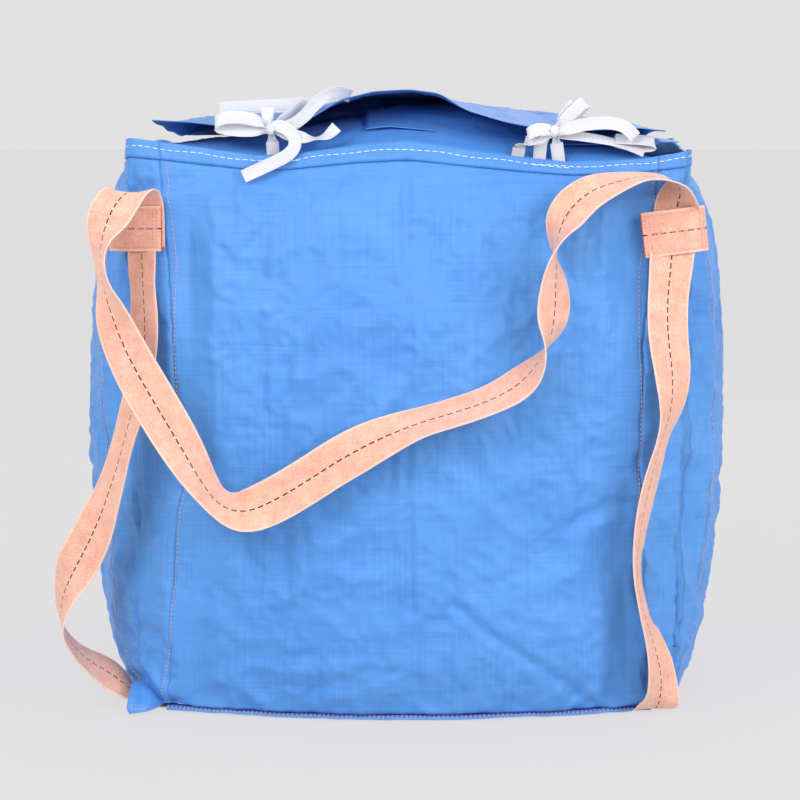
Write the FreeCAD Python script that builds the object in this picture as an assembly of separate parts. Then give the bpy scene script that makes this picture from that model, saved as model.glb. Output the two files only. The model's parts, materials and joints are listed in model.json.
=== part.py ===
import FreeCAD, Part
import math
import os

# Woven bulk bag, millimetres. Origin at the bottom centre, +Z up, the front faces -Y.

vec = FreeCAD.Vector

# Driving sizes
CLOTH = 3.0            # thickness that stands for the folded cloth of a wall
HEM_CLOTH = 6.0        # the mouth hem is folded over twice
WEBBING = 70.0         # width of the lifting webbing
WEBBING_THICK = 2.0
TAPE = 20.0            # width of the closing tapes
TAPE_THICK = 1.2
FLAP_THICK = 2.0
BASE_LIFT = 6.0        # underside of the base cloth, above the crossing straps
BASE_STRAP_REACH = 509.0  # from the centre of the base towards each corner
CROSSING_HALF = 45.0   # flat top of the upper base strap, over the lower one
CROSSING_RAMP = 30.0
CROSSING_GAP = 0.4
FLANGE_WIDTH = 24.0
FLANGE_THICK = 5.0
FLANGE_HALF = 335.0
FLANGE_DROP = 25.0     # how far the flange's ends stand out past the seam corners
FLANGE_LIP = 10.0      # how far its middle stands out past the wall

# Outline of the filled bag at each height: half length of a side panel, how far its seams
# stand from the centre, how far its middle stands out in front and at the sides, and where
# the corner crosses the diagonal.
OUTLINE = [
    # height, seam half length, seam out, front out, side out, corner
    (9.0, 380.0, 424.0, 500.0, 482.0, 404.0),
    (60.0, 375.0, 443.0, 514.0, 500.0, 422.0),
    (200.0, 362.0, 462.0, 528.0, 522.0, 433.0),
    (400.0, 352.0, 476.0, 534.0, 540.0, 440.0),
    (600.0, 356.0, 474.0, 526.0, 540.0, 440.0),
    (780.0, 374.0, 452.0, 484.0, 506.0, 434.0),
    (875.0, 384.0, 439.0, 457.0, 460.0, 431.0),
    (900.0, 386.0, 437.0, 452.0, 447.0, 431.0),
]
HEIGHT, SEAM, SEAM_OUT, FRONT_OUT, SIDE_OUT, CORNER = range(6)

# Front lifting loop: points down the strap's centre line with the direction across it.
FRONT_LOOP = [
    ((-432, -500, 824), (1.0, 0.0, 0.0)),
    ((-443, -515, 813), (1.0, -0.1, -0.1)),
    ((-456, -530, 790), (1.0, -0.2, -0.2)),
    ((-468, -545, 745), (0.8, -0.6, -0.1)),
    ((-464, -560, 692), (0.6, -0.8, 0.1)),
    ((-449, -568, 640), (0.8, -0.6, 0.3)),
    ((-428, -572, 588), (0.9, -0.3, 0.4)),
    ((-402, -575, 538), (0.9, 0.0, 0.45)),
    ((-372, -578, 487), (0.85, 0.2, 0.45)),
    ((-342, -580, 435), (0.75, 0.5, 0.45)),
    ((-316, -580, 388), (0.5, 0.8, 0.35)),
    ((-288, -578, 350), (0.1, 0.9, 0.5)),
    ((-250, -577, 340), (-0.2, 0.5, 0.85)),
    ((-205, -580, 360), (-0.4, 0.1, 0.9)),
    ((-155, -584, 391), (-0.5, 0.0, 0.86)),
    ((-105, -586, 424), (-0.5, 0.0, 0.86)),
    ((-50, -586, 453), (-0.4, 0.2, 0.85)),
    ((8, -584, 477), (-0.3, 0.5, 0.8)),
    ((68, -582, 494), (-0.25, 0.55, 0.78)),
    ((126, -578, 513), (-0.4, 0.5, 0.75)),
    ((175, -574, 541), (-0.6, 0.4, 0.6)),
    ((208, -568, 586), (-0.85, 0.4, 0.3)),
    ((220, -562, 640), (-0.95, 0.2, 0.0)),
    ((222, -556, 695), (-0.8, 0.6, 0.0)),
    ((222, -548, 748), (-0.6, 0.8, 0.1)),
    ((238, -540, 795), (-0.7, 0.5, 0.4)),
    ((275, -530, 828), (-0.4, 0.7, 0.6)),
    ((325, -516, 844), (-0.2, 0.9, 0.3)),
    ((362, -504, 850), (-0.1, 1.0, 0.1)),
]
# The strap's end over each sling patch, from the patch up to the swing axis.
LEFT_STUB = [
    ((-412, -463, 738), (1.0, 0.0, 0.0)),
    ((-412, -463, 775), (1.0, 0.0, 0.0)),
    ((-413, -466, 806), (1.0, 0.0, 0.0)),
    ((-418, -479, 824), (1.0, 0.0, 0.0)),
    ((-424, -489, 827), (1.0, 0.0, 0.0)),
]
RIGHT_STUB = [
    ((408, -463, 738), (-1.0, 0.0, 0.0)),
    ((410, -463, 772), (-1.0, 0.0, 0.0)),
    ((414, -460, 804), (-1.0, 0.04, 0.0)),
    ((421, -473, 828), (-0.7, 0.7, 0.1)),
    ((406, -486, 843), (-0.1, 1.0, 0.1)),
    ((380, -496, 849), (-0.1, 1.0, 0.1)),
]
# Leg of each sling, from under its patch down to the base corner.
LEFT_LEG = [
    ((-412, -464, 728), (0.9, -0.2, 0.0)),
    ((-410, -476, 690), (0.7, -0.6, 0.0)),
    ((-407, -490, 645), (0.6, -0.7, 0.0)),
    ((-405, -501, 596), (0.6, -0.7, 0.0)),
    ((-411, -507, 545), (0.6, -0.75, 0.0)),
    ((-424, -510, 492), (0.6, -0.75, 0.1)),
    ((-440, -510, 438), (0.55, -0.8, 0.15)),
    ((-455, -506, 384), (0.6, -0.75, 0.2)),
    ((-474, -498, 332), (0.75, -0.6, 0.3)),
    ((-497, -484, 282), (0.85, -0.4, 0.35)),
    ((-523, -468, 235), (0.85, -0.4, 0.4)),
    ((-545, -452, 188), (0.5, -0.85, 0.1)),
    ((-550, -440, 140), (0.1, -1.0, 0.0)),
    ((-535, -434, 100), (-0.2, -1.0, 0.0)),
    ((-503, -432, 70), (-0.2, -0.9, 0.3)),
    ((-468, -430, 44), (0.1, -0.95, 0.2)),
    ((-440, -420, 16), (0.5, -0.85, 0.0)),
    ((-410, -400, 3), (0.7, -0.7, 0.0)),
    ((-376, -372, 1), (0.7, -0.7, 0.0)),
]
RIGHT_LEG = [
    ((408, -464, 728), (1.0, 0.0, 0.0)),
    ((401, -478, 690), (0.9, 0.35, 0.0)),
    ((397, -492, 645), (0.9, 0.4, 0.0)),
    ((398, -502, 598), (0.9, 0.4, 0.0)),
    ((405, -508, 548), (0.8, 0.5, 0.0)),
    ((404, -512, 498), (0.6, 0.75, 0.1)),
    ((389, -515, 448), (0.5, 0.85, 0.1)),
    ((375, -515, 396), (0.45, 0.9, 0.1)),
    ((363, -510, 342), (0.4, 0.9, 0.0)),
    ((354, -510, 288), (0.35, 0.95, 0.0)),
    ((352, -505, 234), (0.3, 0.95, 0.0)),
    ((361, -498, 182), (0.35, 0.9, 0.0)),
    ((378, -488, 132), (0.5, 0.85, 0.0)),
    ((393, -478, 84), (0.6, 0.8, 0.0)),
    ((397, -464, 42), (0.7, 0.7, 0.0)),
    ((394, -452, 16), (0.97, 0.2, 0.0)),
    ((388, -428, 3), (0.97, 0.22, 0.0)),
    ((378, -384, 1), (0.97, 0.22, 0.0)),
]

# Short run of webbing sewn across each sling at its top corner
RIGHT_PATCH = [
    ((360, -471.4, 768), (0.0, 0.0, 1.0)),
    ((376, -472.4, 768), (0.0, 0.0, 1.0)),
    ((447, -472.4, 768), (0.0, 0.0, 1.0)),
    ((460, -458.4, 768), (0.0, 0.0, 1.0)),
]
LEFT_PATCH = [
    ((-377, -470, 768), (0.1, 0.0, 1.0)),
    ((-392, -471, 768), (0.1, 0.0, 1.0)),
    ((-447, -469, 768), (0.0, 0.0, 1.0)),
    ((-464, -450, 768), (0.0, 0.0, 1.0)),
]

# Closing flaps
COVER_HINGE = (428.0, 904.0)       # y and z of its fold along the back rim
COVER_REACH = 870.0                # from the fold to its front edge
COVER_HALF = 405.0
COVER_ROWS = 7
COVER_CROWN = 34.0
# rise of its front edge, as (share of the half width, height): an arch between two tied points
COVER_EDGE = [(0.0, 80.0), (0.15, 76.0), (0.3, 58.0), (0.53, 17.0), (0.75, 26.0), (1.0, 32.0)]
FRONT_FLAP_HINGE = (-424.0, 892.0)
SIDE_FLAP_HINGE = (-422.0, 886.0)  # before it is turned to its side
FLAP_HALF = 378.0                  # half length along the fold
FLAP_REACH = 350.0
FLAP_RISE = 4.0
# The right flap lies over the front one and reaches past the middle. Its rear side is cut at an angle.
OVER_FLAP = [
    # x, nearest y, furthest y, height
    (422.0, -400.0, 376.0, 896.5),
    (-68.0, -400.0, -114.0, 908.0),
]

# Bows that tie the cover to the rim
TIE_LEFT_X = -213.0
TIE_RIGHT_X = 224.0
TIE_HEIGHT = 921.0
TIE_OUT = -449.0
KNOT_WIDE, KNOT_DEEP, KNOT_TALL = 20.0, 14.0, 18.0
KNOT_FILLET = 3.0
ANCHOR_OUT = -440.0    # rim end of a tie, sewn inside the front hem
ANCHOR_LOW = 860.0
ANCHOR_TALL = 46.0


def polygon(points):
    return Part.makePolygon([vec(*p) for p in points] + [vec(*points[0])])


def ruled_solid(wires):
    return Part.makeLoft(wires, True, True).Solids[0]


def skinned(rings):
    """Closed solid through rings of points, each joined to the next by ruled faces."""
    count = len(rings[0])
    faces = [Part.Face(Part.makePolygon(ring + [ring[0]])) for ring in (rings[0], rings[-1])]
    for near, far in zip(rings, rings[1:]):
        for i in range(count):
            j = (i + 1) % count
            faces.append(Part.makeRuledSurface(Part.makeLine(near[i], near[j]), Part.makeLine(far[i], far[j])))
    solid = Part.makeSolid(Part.makeShell(faces))
    if solid.Volume < 0:
        solid.reverse()
    return solid


def sections_of(route, width, thick):
    """Rectangles across a strap, each square to the strap's run at its point."""
    rings = []
    last = len(route) - 1
    for i, (point, across) in enumerate(route):
        before = vec(*route[max(i - 1, 0)][0])
        after = vec(*route[min(i + 1, last)][0])
        run = (after - before).normalize()
        side = vec(*across)
        side = (side - run * side.dot(run)).normalize()
        face = run.cross(side)
        side = side * (width / 2)
        face = face * (thick / 2)
        centre = vec(*point)
        rings.append([centre + side + face, centre - side + face, centre - side - face, centre + side - face])
    return rings


def strap(route, width, thick):
    """A flat strap: straight ruled runs between the points of its route."""
    return skinned(sections_of(route, width, thick))


def mirrored(shape):
    """The same piece at the rear of the bag."""
    return shape.mirror(vec(0, 0, 0), vec(0, 1, 0))


def turned(shape, quarter):
    return shape.rotated(vec(0, 0, 0), vec(0, 0, 1), 90.0 * quarter)


def side_face(level, out, thick):
    """Thick arc of one side panel, which faces -Y, at one height."""
    half, seam, height = level[SEAM], level[SEAM_OUT], level[HEIGHT]
    outer = Part.Arc(vec(-half, -seam, height), vec(0, -out, height), vec(half, -seam, height))
    inner = Part.Arc(
        vec(half, -seam + thick, height), vec(0, -out + thick, height), vec(-half, -seam + thick, height)
    )
    right = Part.LineSegment(vec(half, -seam, height), vec(half, -seam + thick, height))
    left = Part.LineSegment(vec(-half, -seam + thick, height), vec(-half, -seam, height))
    return Part.Wire([outer.toShape(), right.toShape(), inner.toShape(), left.toShape()])


def corner_face(level, thick):
    """Thick arc of the front right corner at one height."""
    half, seam, height, corner = level[SEAM], level[SEAM_OUT], level[HEIGHT], level[CORNER]
    inset = corner - thick * 0.8
    outer = Part.Arc(vec(half, -seam, height), vec(corner, -corner, height), vec(seam, -half, height))
    inner = Part.Arc(
        vec(seam - thick, -half, height), vec(inset, -inset, height), vec(half, -seam + thick, height)
    )
    back = Part.LineSegment(vec(seam, -half, height), vec(seam - thick, -half, height))
    front = Part.LineSegment(vec(half, -seam + thick, height), vec(half, -seam, height))
    return Part.Wire([outer.toShape(), back.toShape(), inner.toShape(), front.toShape()])


def stack(make_face, levels):
    """Ruled bands between the faces at each height, joined into one piece."""
    bands = [ruled_solid([make_face(low), make_face(high)]) for low, high in zip(levels, levels[1:])]
    piece = bands[0].multiFuse(bands[1:]) if len(bands) > 1 else bands[0]
    return piece.Solids[0]


def panel(out_index, levels, thick):
    return stack(lambda level: side_face(level, level[out_index], thick), levels)


def walls():
    levels = OUTLINE[:-1]
    front = panel(FRONT_OUT, levels, CLOTH)
    side = panel(SIDE_OUT, levels, CLOTH)
    corner = stack(lambda level: corner_face(level, CLOTH), levels)
    return {
        "front_panel": front,
        "back_panel": turned(front, 2),
        "right_panel": turned(side, 1),
        "left_panel": turned(side, 3),
        "corner_strip_front_right": corner,
        "corner_strip_rear_right": turned(corner, 1),
        "corner_strip_rear_left": turned(corner, 2),
        "corner_strip_front_left": turned(corner, 3),
    }


def mouth_hem():
    levels = OUTLINE[-2:]
    front = panel(FRONT_OUT, levels, HEM_CLOTH)
    side = panel(SIDE_OUT, levels, HEM_CLOTH)
    return {
        "hem_front": front,
        "hem_rear": turned(front, 2),
        "hem_right": turned(side, 1),
        "hem_left": turned(side, 3),
        "hem_corners": Part.Compound(
            [turned(stack(lambda level: corner_face(level, HEM_CLOTH), levels), q) for q in range(4)]
        ),
    }


def flange(out):
    """Curved seam flange along the front edge of the base, whose middle stands out this far."""
    end_out = OUTLINE[0][SEAM_OUT] + FLANGE_DROP
    near = Part.Arc(vec(-FLANGE_HALF, -end_out, 0), vec(0, -out - FLANGE_LIP, 0), vec(FLANGE_HALF, -end_out, 0))
    end_out, out = end_out - FLANGE_WIDTH, out - FLANGE_WIDTH
    far = Part.Arc(vec(FLANGE_HALF, -end_out, 0), vec(0, -out - FLANGE_LIP, 0), vec(-FLANGE_HALF, -end_out, 0))
    right = Part.LineSegment(near.EndPoint, far.StartPoint)
    left = Part.LineSegment(far.EndPoint, near.StartPoint)
    outline = Part.Wire([near.toShape(), right.toShape(), far.toShape(), left.toShape()])
    return Part.Face(outline).extrude(vec(0, 0, FLANGE_THICK))


def base():
    """Base cloth with its bowed edges, and the seam flanges along them."""
    foot = OUTLINE[0]
    half, seam, corner = foot[SEAM], foot[SEAM_OUT], foot[CORNER]
    edges = []
    for quarter in range(4):
        out = foot[FRONT_OUT] if quarter % 2 == 0 else foot[SIDE_OUT]
        side = Part.Arc(vec(-half, -seam, 0), vec(0, -out, 0), vec(half, -seam, 0)).toShape()
        turn = Part.Arc(vec(half, -seam, 0), vec(corner, -corner, 0), vec(seam, -half, 0)).toShape()
        edges += [turned(side, quarter), turned(turn, quarter)]
    cloth = Part.Face(Part.Wire(edges)).extrude(vec(0, 0, CLOTH))
    cloth.translate(vec(0, 0, BASE_LIFT))
    front, side = flange(foot[FRONT_OUT]), flange(foot[SIDE_OUT])
    return {
        "base_panel": cloth,
        "base_flange_front": front,
        "base_flange_right": turned(side, 1),
        "base_flange_rear": turned(front, 2),
        "base_flange_left": turned(side, 3),
    }


def base_straps():
    """Two straps that cross under the base, one stepping over the other."""
    reach = BASE_STRAP_REACH
    low = Part.makeBox(2 * reach, WEBBING, WEBBING_THICK, vec(-reach, -WEBBING / 2, 0))
    step, foot, top = CROSSING_HALF, CROSSING_HALF + CROSSING_RAMP, WEBBING_THICK + CROSSING_GAP
    under = [(-reach, 0), (-foot, 0), (-step, top), (step, top), (foot, 0), (reach, 0)]
    over = [(x, z + WEBBING_THICK) for x, z in reversed(under)]
    profile = Part.Face(polygon([(x, -WEBBING / 2, z) for x, z in under + over]))
    high = profile.extrude(vec(0, WEBBING, 0))
    centre = vec(0, 0, 0)
    return {
        "base_strap_lower": low.rotated(centre, vec(0, 0, 1), 45.0),
        "base_strap_upper": high.rotated(centre, vec(0, 0, 1), -45.0),
    }


def slings():
    """Sling patches, legs, the loop ends over the patches, and the two lifting loops."""
    front = {
        "sling_patch_front_right": strap(RIGHT_PATCH, WEBBING, WEBBING_THICK),
        "sling_patch_front_left": strap(LEFT_PATCH, WEBBING, WEBBING_THICK),
        "sling_leg_front_left": strap(LEFT_LEG, WEBBING, WEBBING_THICK),
        "sling_leg_front_right": strap(RIGHT_LEG, WEBBING, WEBBING_THICK),
        "loop_end_front_left": strap(LEFT_STUB, WEBBING, WEBBING_THICK),
        "loop_end_front_right": strap(RIGHT_STUB, WEBBING, WEBBING_THICK),
        "lifting_loop_front": strap(FRONT_LOOP, WEBBING, WEBBING_THICK),
    }
    rear = {name.replace("front", "rear"): mirrored(shape) for name, shape in front.items()}
    return {**front, **rear}


def cover_flap():
    """Domed flap from its fold at the back rim to its arched front edge."""
    edge = [(-share, rise) for share, rise in reversed(COVER_EDGE)] + COVER_EDGE[1:]
    rings = []
    for row in range(COVER_ROWS):
        reach = row / (COVER_ROWS - 1)
        y = COVER_HINGE[0] - COVER_REACH * reach
        crown = COVER_CROWN * math.sin(math.pi * reach)
        under = []
        for share, rise in edge:
            z = COVER_HINGE[1] + rise * reach ** 2 + crown * (1 - share ** 2)
            under.append(vec(share * COVER_HALF, y, z))
        over = [point + vec(0, 0, FLAP_THICK) for point in reversed(under)]
        rings.append(under + over)
    return skinned(rings)


def trapezium_flap(half, reach, hinge):
    """Flap hinged along the front rim and folded inwards, its two sides cut at 45 degrees."""
    out, height = hinge
    thick = vec(0, 0, FLAP_THICK)
    rings = []
    for wide, y, z in ((half, out, height), (half - reach, out + reach, height + FLAP_RISE)):
        left, right = vec(-wide, y, z), vec(wide, y, z)
        rings.append([left, right, right + thick, left + thick])
    return skinned(rings)


def over_flap():
    thick = vec(0, 0, FLAP_THICK)
    rings = []
    for x, near, far, z in OVER_FLAP:
        front, rear = vec(x, near, z), vec(x, far, z)
        rings.append([front, rear, rear + thick, front + thick])
    return skinned(rings)


def flaps():
    side = trapezium_flap(FLAP_HALF, FLAP_REACH, SIDE_FLAP_HINGE)
    return {
        "cover_flap": cover_flap(),
        "front_flap": trapezium_flap(FLAP_HALF, FLAP_REACH, FRONT_FLAP_HINGE),
        "right_flap": over_flap(),
        "left_flap": turned(side, 3),
    }


def bow(x, lean):
    """Tied bow on the cover's front edge: a knot, two loops and two tails."""
    y, z = TIE_OUT, TIE_HEIGHT
    low = vec(x - KNOT_WIDE / 2, y - KNOT_DEEP / 2, z - KNOT_TALL / 2)
    knot = Part.makeBox(KNOT_WIDE, KNOT_DEEP, KNOT_TALL, low)
    knot = knot.makeFillet(KNOT_FILLET, knot.Edges)
    loops = []
    for way in (-1, 1):
        loop = [
            ((x + way * 11, y - 6, z + 5), (0.0, 1.0, 0.1)),
            ((x + way * 34, y - 8, z + 12 + lean * way), (0.1, 1.0, 0.2)),
            ((x + way * 56, y - 9, z + 10 + lean * way), (0.1, 1.0, 0.2)),
            ((x + way * 66, y - 10, z + 2 + lean * way), (0.0, 1.0, 0.2)),
            ((x + way * 54, y - 10, z - 6 + lean * way), (0.0, 1.0, 0.2)),
            ((x + way * 30, y - 8, z - 5), (0.0, 1.0, 0.1)),
            ((x + way * 11, y - 6, z - 4), (0.0, 1.0, 0.1)),
        ]
        loops.append(strap(loop, TAPE, TAPE_THICK))
    return knot, loops


def ties():
    knot_left, loops_left = bow(TIE_LEFT_X, 4.0)
    knot_right, loops_right = bow(TIE_RIGHT_X, 2.0)
    tail_left = [
        ((TIE_LEFT_X + 2, TIE_OUT - 9, 908), (1.0, 0.0, 0.0)),
        ((TIE_LEFT_X + 4, TIE_OUT - 13, 892), (1.0, 0.0, -0.1)),
        ((TIE_LEFT_X - 6, TIE_OUT - 15, 874), (0.8, 0.0, -0.5)),
        ((TIE_LEFT_X - 26, TIE_OUT - 16, 857), (0.65, 0.0, -0.75)),
    ]
    tail_right = [
        ((TIE_RIGHT_X - 4, TIE_OUT - 9, 908), (1.0, 0.0, 0.0)),
        ((TIE_RIGHT_X - 12, TIE_OUT - 13, 892), (1.0, 0.0, 0.0)),
        ((TIE_RIGHT_X - 18, TIE_OUT - 15, 872), (0.9, 0.0, 0.1)),
    ]
    pieces = {
        "tie_knot_left": knot_left,
        "tie_loops_left": Part.Compound(loops_left),
        "tie_tail_left": strap(tail_left, TAPE, TAPE_THICK),
        "tie_knot_right": knot_right,
        "tie_loops_right": Part.Compound(loops_right),
        "tie_tail_right": strap(tail_right, TAPE, TAPE_THICK),
    }
    for name, x in (("left", TIE_LEFT_X), ("right", TIE_RIGHT_X)):
        corner = vec(x - TAPE / 2, ANCHOR_OUT, ANCHOR_LOW)
        pieces["tie_anchor_" + name] = Part.makeBox(TAPE, TAPE_THICK, ANCHOR_TALL, corner)
    return pieces


def tightest_bend(route):
    """Smallest radius of the arcs through each three neighbouring points of a route."""
    points = [vec(*point) for point, across in route]
    radii = []
    for a, b, c in zip(points, points[1:], points[2:]):
        area = (b - a).cross(c - a).Length
        if area > 1.0:
            radii.append((b - a).Length * (c - b).Length * (c - a).Length / (2 * area))
    return min(radii)


def main():
    os.makedirs("parts", exist_ok=True)
    pieces = {**walls(), **mouth_hem(), **base(), **base_straps(), **slings(), **flaps(), **ties()}
    for name, shape in sorted(pieces.items()):
        shape.exportStep("parts/" + name + ".step")
        box = shape.BoundBox
        print(f"{name:26s} valid {shape.isValid()} solids {len(shape.Solids)} volume {shape.Volume:10.0f} "
              f"z {box.ZMin:7.1f} {box.ZMax:7.1f}")
    for name, route in (("lifting loop", FRONT_LOOP), ("left leg", LEFT_LEG), ("right leg", RIGHT_LEG)):
        print(f"{name:26s} tightest bend radius {tightest_bend(route):6.1f}")


main()
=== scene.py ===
import bpy
import bmesh
import json
import math
from mathutils import Matrix, Vector, noise
from mathutils.bvhtree import BVHTree
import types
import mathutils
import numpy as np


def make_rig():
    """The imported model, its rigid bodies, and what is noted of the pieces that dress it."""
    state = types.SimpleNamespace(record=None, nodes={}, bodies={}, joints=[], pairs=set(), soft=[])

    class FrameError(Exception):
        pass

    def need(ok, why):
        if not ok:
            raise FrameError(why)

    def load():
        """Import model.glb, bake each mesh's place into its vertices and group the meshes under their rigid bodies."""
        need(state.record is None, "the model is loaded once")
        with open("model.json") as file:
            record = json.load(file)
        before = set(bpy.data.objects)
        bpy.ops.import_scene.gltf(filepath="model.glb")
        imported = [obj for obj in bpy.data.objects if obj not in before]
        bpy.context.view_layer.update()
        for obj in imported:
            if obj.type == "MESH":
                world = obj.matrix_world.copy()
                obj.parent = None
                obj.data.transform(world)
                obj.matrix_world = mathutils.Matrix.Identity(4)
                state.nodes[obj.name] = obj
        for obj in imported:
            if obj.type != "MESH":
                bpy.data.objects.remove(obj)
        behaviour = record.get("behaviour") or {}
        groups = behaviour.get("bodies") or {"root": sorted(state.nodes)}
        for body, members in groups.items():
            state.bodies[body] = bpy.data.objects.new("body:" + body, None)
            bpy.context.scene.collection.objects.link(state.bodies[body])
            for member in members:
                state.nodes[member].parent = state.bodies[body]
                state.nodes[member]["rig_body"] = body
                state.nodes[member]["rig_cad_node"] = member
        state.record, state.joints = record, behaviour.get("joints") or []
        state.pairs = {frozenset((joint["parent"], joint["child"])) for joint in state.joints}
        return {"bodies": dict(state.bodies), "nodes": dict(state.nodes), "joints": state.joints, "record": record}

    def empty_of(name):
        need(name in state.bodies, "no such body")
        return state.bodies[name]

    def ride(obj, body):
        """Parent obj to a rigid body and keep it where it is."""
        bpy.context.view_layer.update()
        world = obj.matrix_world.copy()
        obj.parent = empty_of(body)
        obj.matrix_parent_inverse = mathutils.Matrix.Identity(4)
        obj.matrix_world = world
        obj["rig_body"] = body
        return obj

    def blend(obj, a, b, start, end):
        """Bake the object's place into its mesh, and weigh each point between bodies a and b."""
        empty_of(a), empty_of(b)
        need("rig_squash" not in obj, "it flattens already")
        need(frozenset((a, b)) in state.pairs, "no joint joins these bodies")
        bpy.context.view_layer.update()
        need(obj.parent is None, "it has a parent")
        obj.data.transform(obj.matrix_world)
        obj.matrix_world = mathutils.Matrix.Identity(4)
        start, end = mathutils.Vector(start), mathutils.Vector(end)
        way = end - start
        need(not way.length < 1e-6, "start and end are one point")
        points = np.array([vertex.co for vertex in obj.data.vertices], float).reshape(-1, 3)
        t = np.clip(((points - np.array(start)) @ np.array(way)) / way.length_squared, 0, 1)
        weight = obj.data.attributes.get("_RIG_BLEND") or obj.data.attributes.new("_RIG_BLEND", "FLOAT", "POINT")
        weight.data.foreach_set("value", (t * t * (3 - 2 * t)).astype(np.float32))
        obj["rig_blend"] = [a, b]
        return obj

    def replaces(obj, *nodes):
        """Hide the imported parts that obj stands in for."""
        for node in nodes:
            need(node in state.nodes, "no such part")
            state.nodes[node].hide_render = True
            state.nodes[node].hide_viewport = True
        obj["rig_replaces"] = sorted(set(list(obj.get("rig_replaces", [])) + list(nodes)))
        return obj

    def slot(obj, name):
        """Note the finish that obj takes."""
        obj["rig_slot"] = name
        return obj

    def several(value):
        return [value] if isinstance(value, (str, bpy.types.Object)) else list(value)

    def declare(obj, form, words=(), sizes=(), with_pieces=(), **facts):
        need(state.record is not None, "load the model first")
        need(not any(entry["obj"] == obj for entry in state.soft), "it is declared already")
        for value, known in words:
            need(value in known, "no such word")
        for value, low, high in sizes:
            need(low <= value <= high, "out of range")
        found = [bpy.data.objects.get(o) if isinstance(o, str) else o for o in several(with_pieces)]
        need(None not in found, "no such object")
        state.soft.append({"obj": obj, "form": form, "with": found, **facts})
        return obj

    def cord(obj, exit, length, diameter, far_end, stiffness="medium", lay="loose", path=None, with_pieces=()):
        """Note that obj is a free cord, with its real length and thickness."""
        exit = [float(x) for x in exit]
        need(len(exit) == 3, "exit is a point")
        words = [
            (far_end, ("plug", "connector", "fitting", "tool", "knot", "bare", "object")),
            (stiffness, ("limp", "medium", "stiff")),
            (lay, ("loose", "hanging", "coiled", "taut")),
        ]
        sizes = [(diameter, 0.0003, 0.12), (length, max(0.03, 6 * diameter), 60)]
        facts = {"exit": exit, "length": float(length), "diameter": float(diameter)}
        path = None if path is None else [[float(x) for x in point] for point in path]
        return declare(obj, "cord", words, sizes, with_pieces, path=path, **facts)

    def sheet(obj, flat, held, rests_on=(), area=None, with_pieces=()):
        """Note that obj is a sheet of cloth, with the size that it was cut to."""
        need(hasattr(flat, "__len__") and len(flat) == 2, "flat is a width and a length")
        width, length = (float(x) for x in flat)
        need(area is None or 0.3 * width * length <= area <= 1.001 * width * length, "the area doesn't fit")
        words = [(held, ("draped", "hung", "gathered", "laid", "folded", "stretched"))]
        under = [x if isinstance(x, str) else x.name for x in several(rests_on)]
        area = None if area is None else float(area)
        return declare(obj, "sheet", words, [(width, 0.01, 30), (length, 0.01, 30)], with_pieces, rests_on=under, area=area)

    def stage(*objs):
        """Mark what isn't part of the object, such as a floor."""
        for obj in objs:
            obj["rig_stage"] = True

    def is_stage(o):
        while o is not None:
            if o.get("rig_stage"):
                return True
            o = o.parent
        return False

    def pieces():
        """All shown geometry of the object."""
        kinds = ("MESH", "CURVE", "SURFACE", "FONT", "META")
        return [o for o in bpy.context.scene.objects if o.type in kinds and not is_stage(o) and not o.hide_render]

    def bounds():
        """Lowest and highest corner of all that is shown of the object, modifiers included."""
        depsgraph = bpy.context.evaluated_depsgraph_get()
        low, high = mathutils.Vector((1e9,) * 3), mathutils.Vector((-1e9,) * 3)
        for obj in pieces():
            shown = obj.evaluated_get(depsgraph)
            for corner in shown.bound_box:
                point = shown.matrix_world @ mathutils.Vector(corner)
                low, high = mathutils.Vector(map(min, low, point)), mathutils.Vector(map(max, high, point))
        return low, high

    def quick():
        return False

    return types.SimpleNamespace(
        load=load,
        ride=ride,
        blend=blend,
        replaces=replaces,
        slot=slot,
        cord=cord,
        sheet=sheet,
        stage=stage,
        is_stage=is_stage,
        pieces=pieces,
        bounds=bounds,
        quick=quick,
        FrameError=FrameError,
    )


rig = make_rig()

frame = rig.load()
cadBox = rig.bounds()

# Camera

camera = {"place": (-0.0138, -4.6, 0.95), "pitch": 6.187, "lens": 120.4, "sensor": 36.0}


def addCamera():
    data = bpy.data.cameras.new("camera")
    data.lens = camera["lens"]
    data.sensor_width = camera["sensor"]
    obj = bpy.data.objects.new("camera", data)
    obj.location = camera["place"]
    obj.rotation_euler = (math.radians(90 - camera["pitch"]), 0, 0)
    bpy.context.scene.collection.objects.link(obj)
    bpy.context.scene.camera = obj


addCamera()

# Node helpers


def newMaterial(name):
    mat = bpy.data.materials.new(name)
    mat.use_nodes = True
    tree = mat.node_tree
    return mat, tree, tree.nodes["Principled BSDF"]


def maths(tree, operation, a, b=None, c=None):
    made = tree.nodes.new("ShaderNodeMath")
    made.operation = operation
    for socket, value in enumerate((a, b, c)):
        if value is None:
            continue
        if isinstance(value, (int, float)):
            made.inputs[socket].default_value = value
        else:
            tree.links.new(value, made.inputs[socket])
    return made.outputs[0]


def uvParts(tree):
    uv = tree.nodes.new("ShaderNodeUVMap")
    split = tree.nodes.new("ShaderNodeSeparateXYZ")
    tree.links.new(uv.outputs[0], split.inputs[0])
    return uv.outputs[0], split.outputs[0], split.outputs[1]


def scaledNoise(tree, vector, scale, detail=3.0, rough=0.55):
    made = tree.nodes.new("ShaderNodeTexNoise")
    made.inputs["Scale"].default_value = scale
    made.inputs["Detail"].default_value = detail
    made.inputs["Roughness"].default_value = rough
    tree.links.new(vector, made.inputs["Vector"])
    return made.outputs["Fac"]


def mixColour(tree, factor, a, b, blend="MIX"):
    made = tree.nodes.new("ShaderNodeMix")
    made.data_type = "RGBA"
    made.blend_type = blend
    if isinstance(factor, (int, float)):
        made.inputs[0].default_value = factor
    else:
        tree.links.new(factor, made.inputs[0])
    for index, value in ((6, a), (7, b)):
        if isinstance(value, tuple):
            made.inputs[index].default_value = value
        else:
            tree.links.new(value, made.inputs[index])
    return made.outputs[2]


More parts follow.
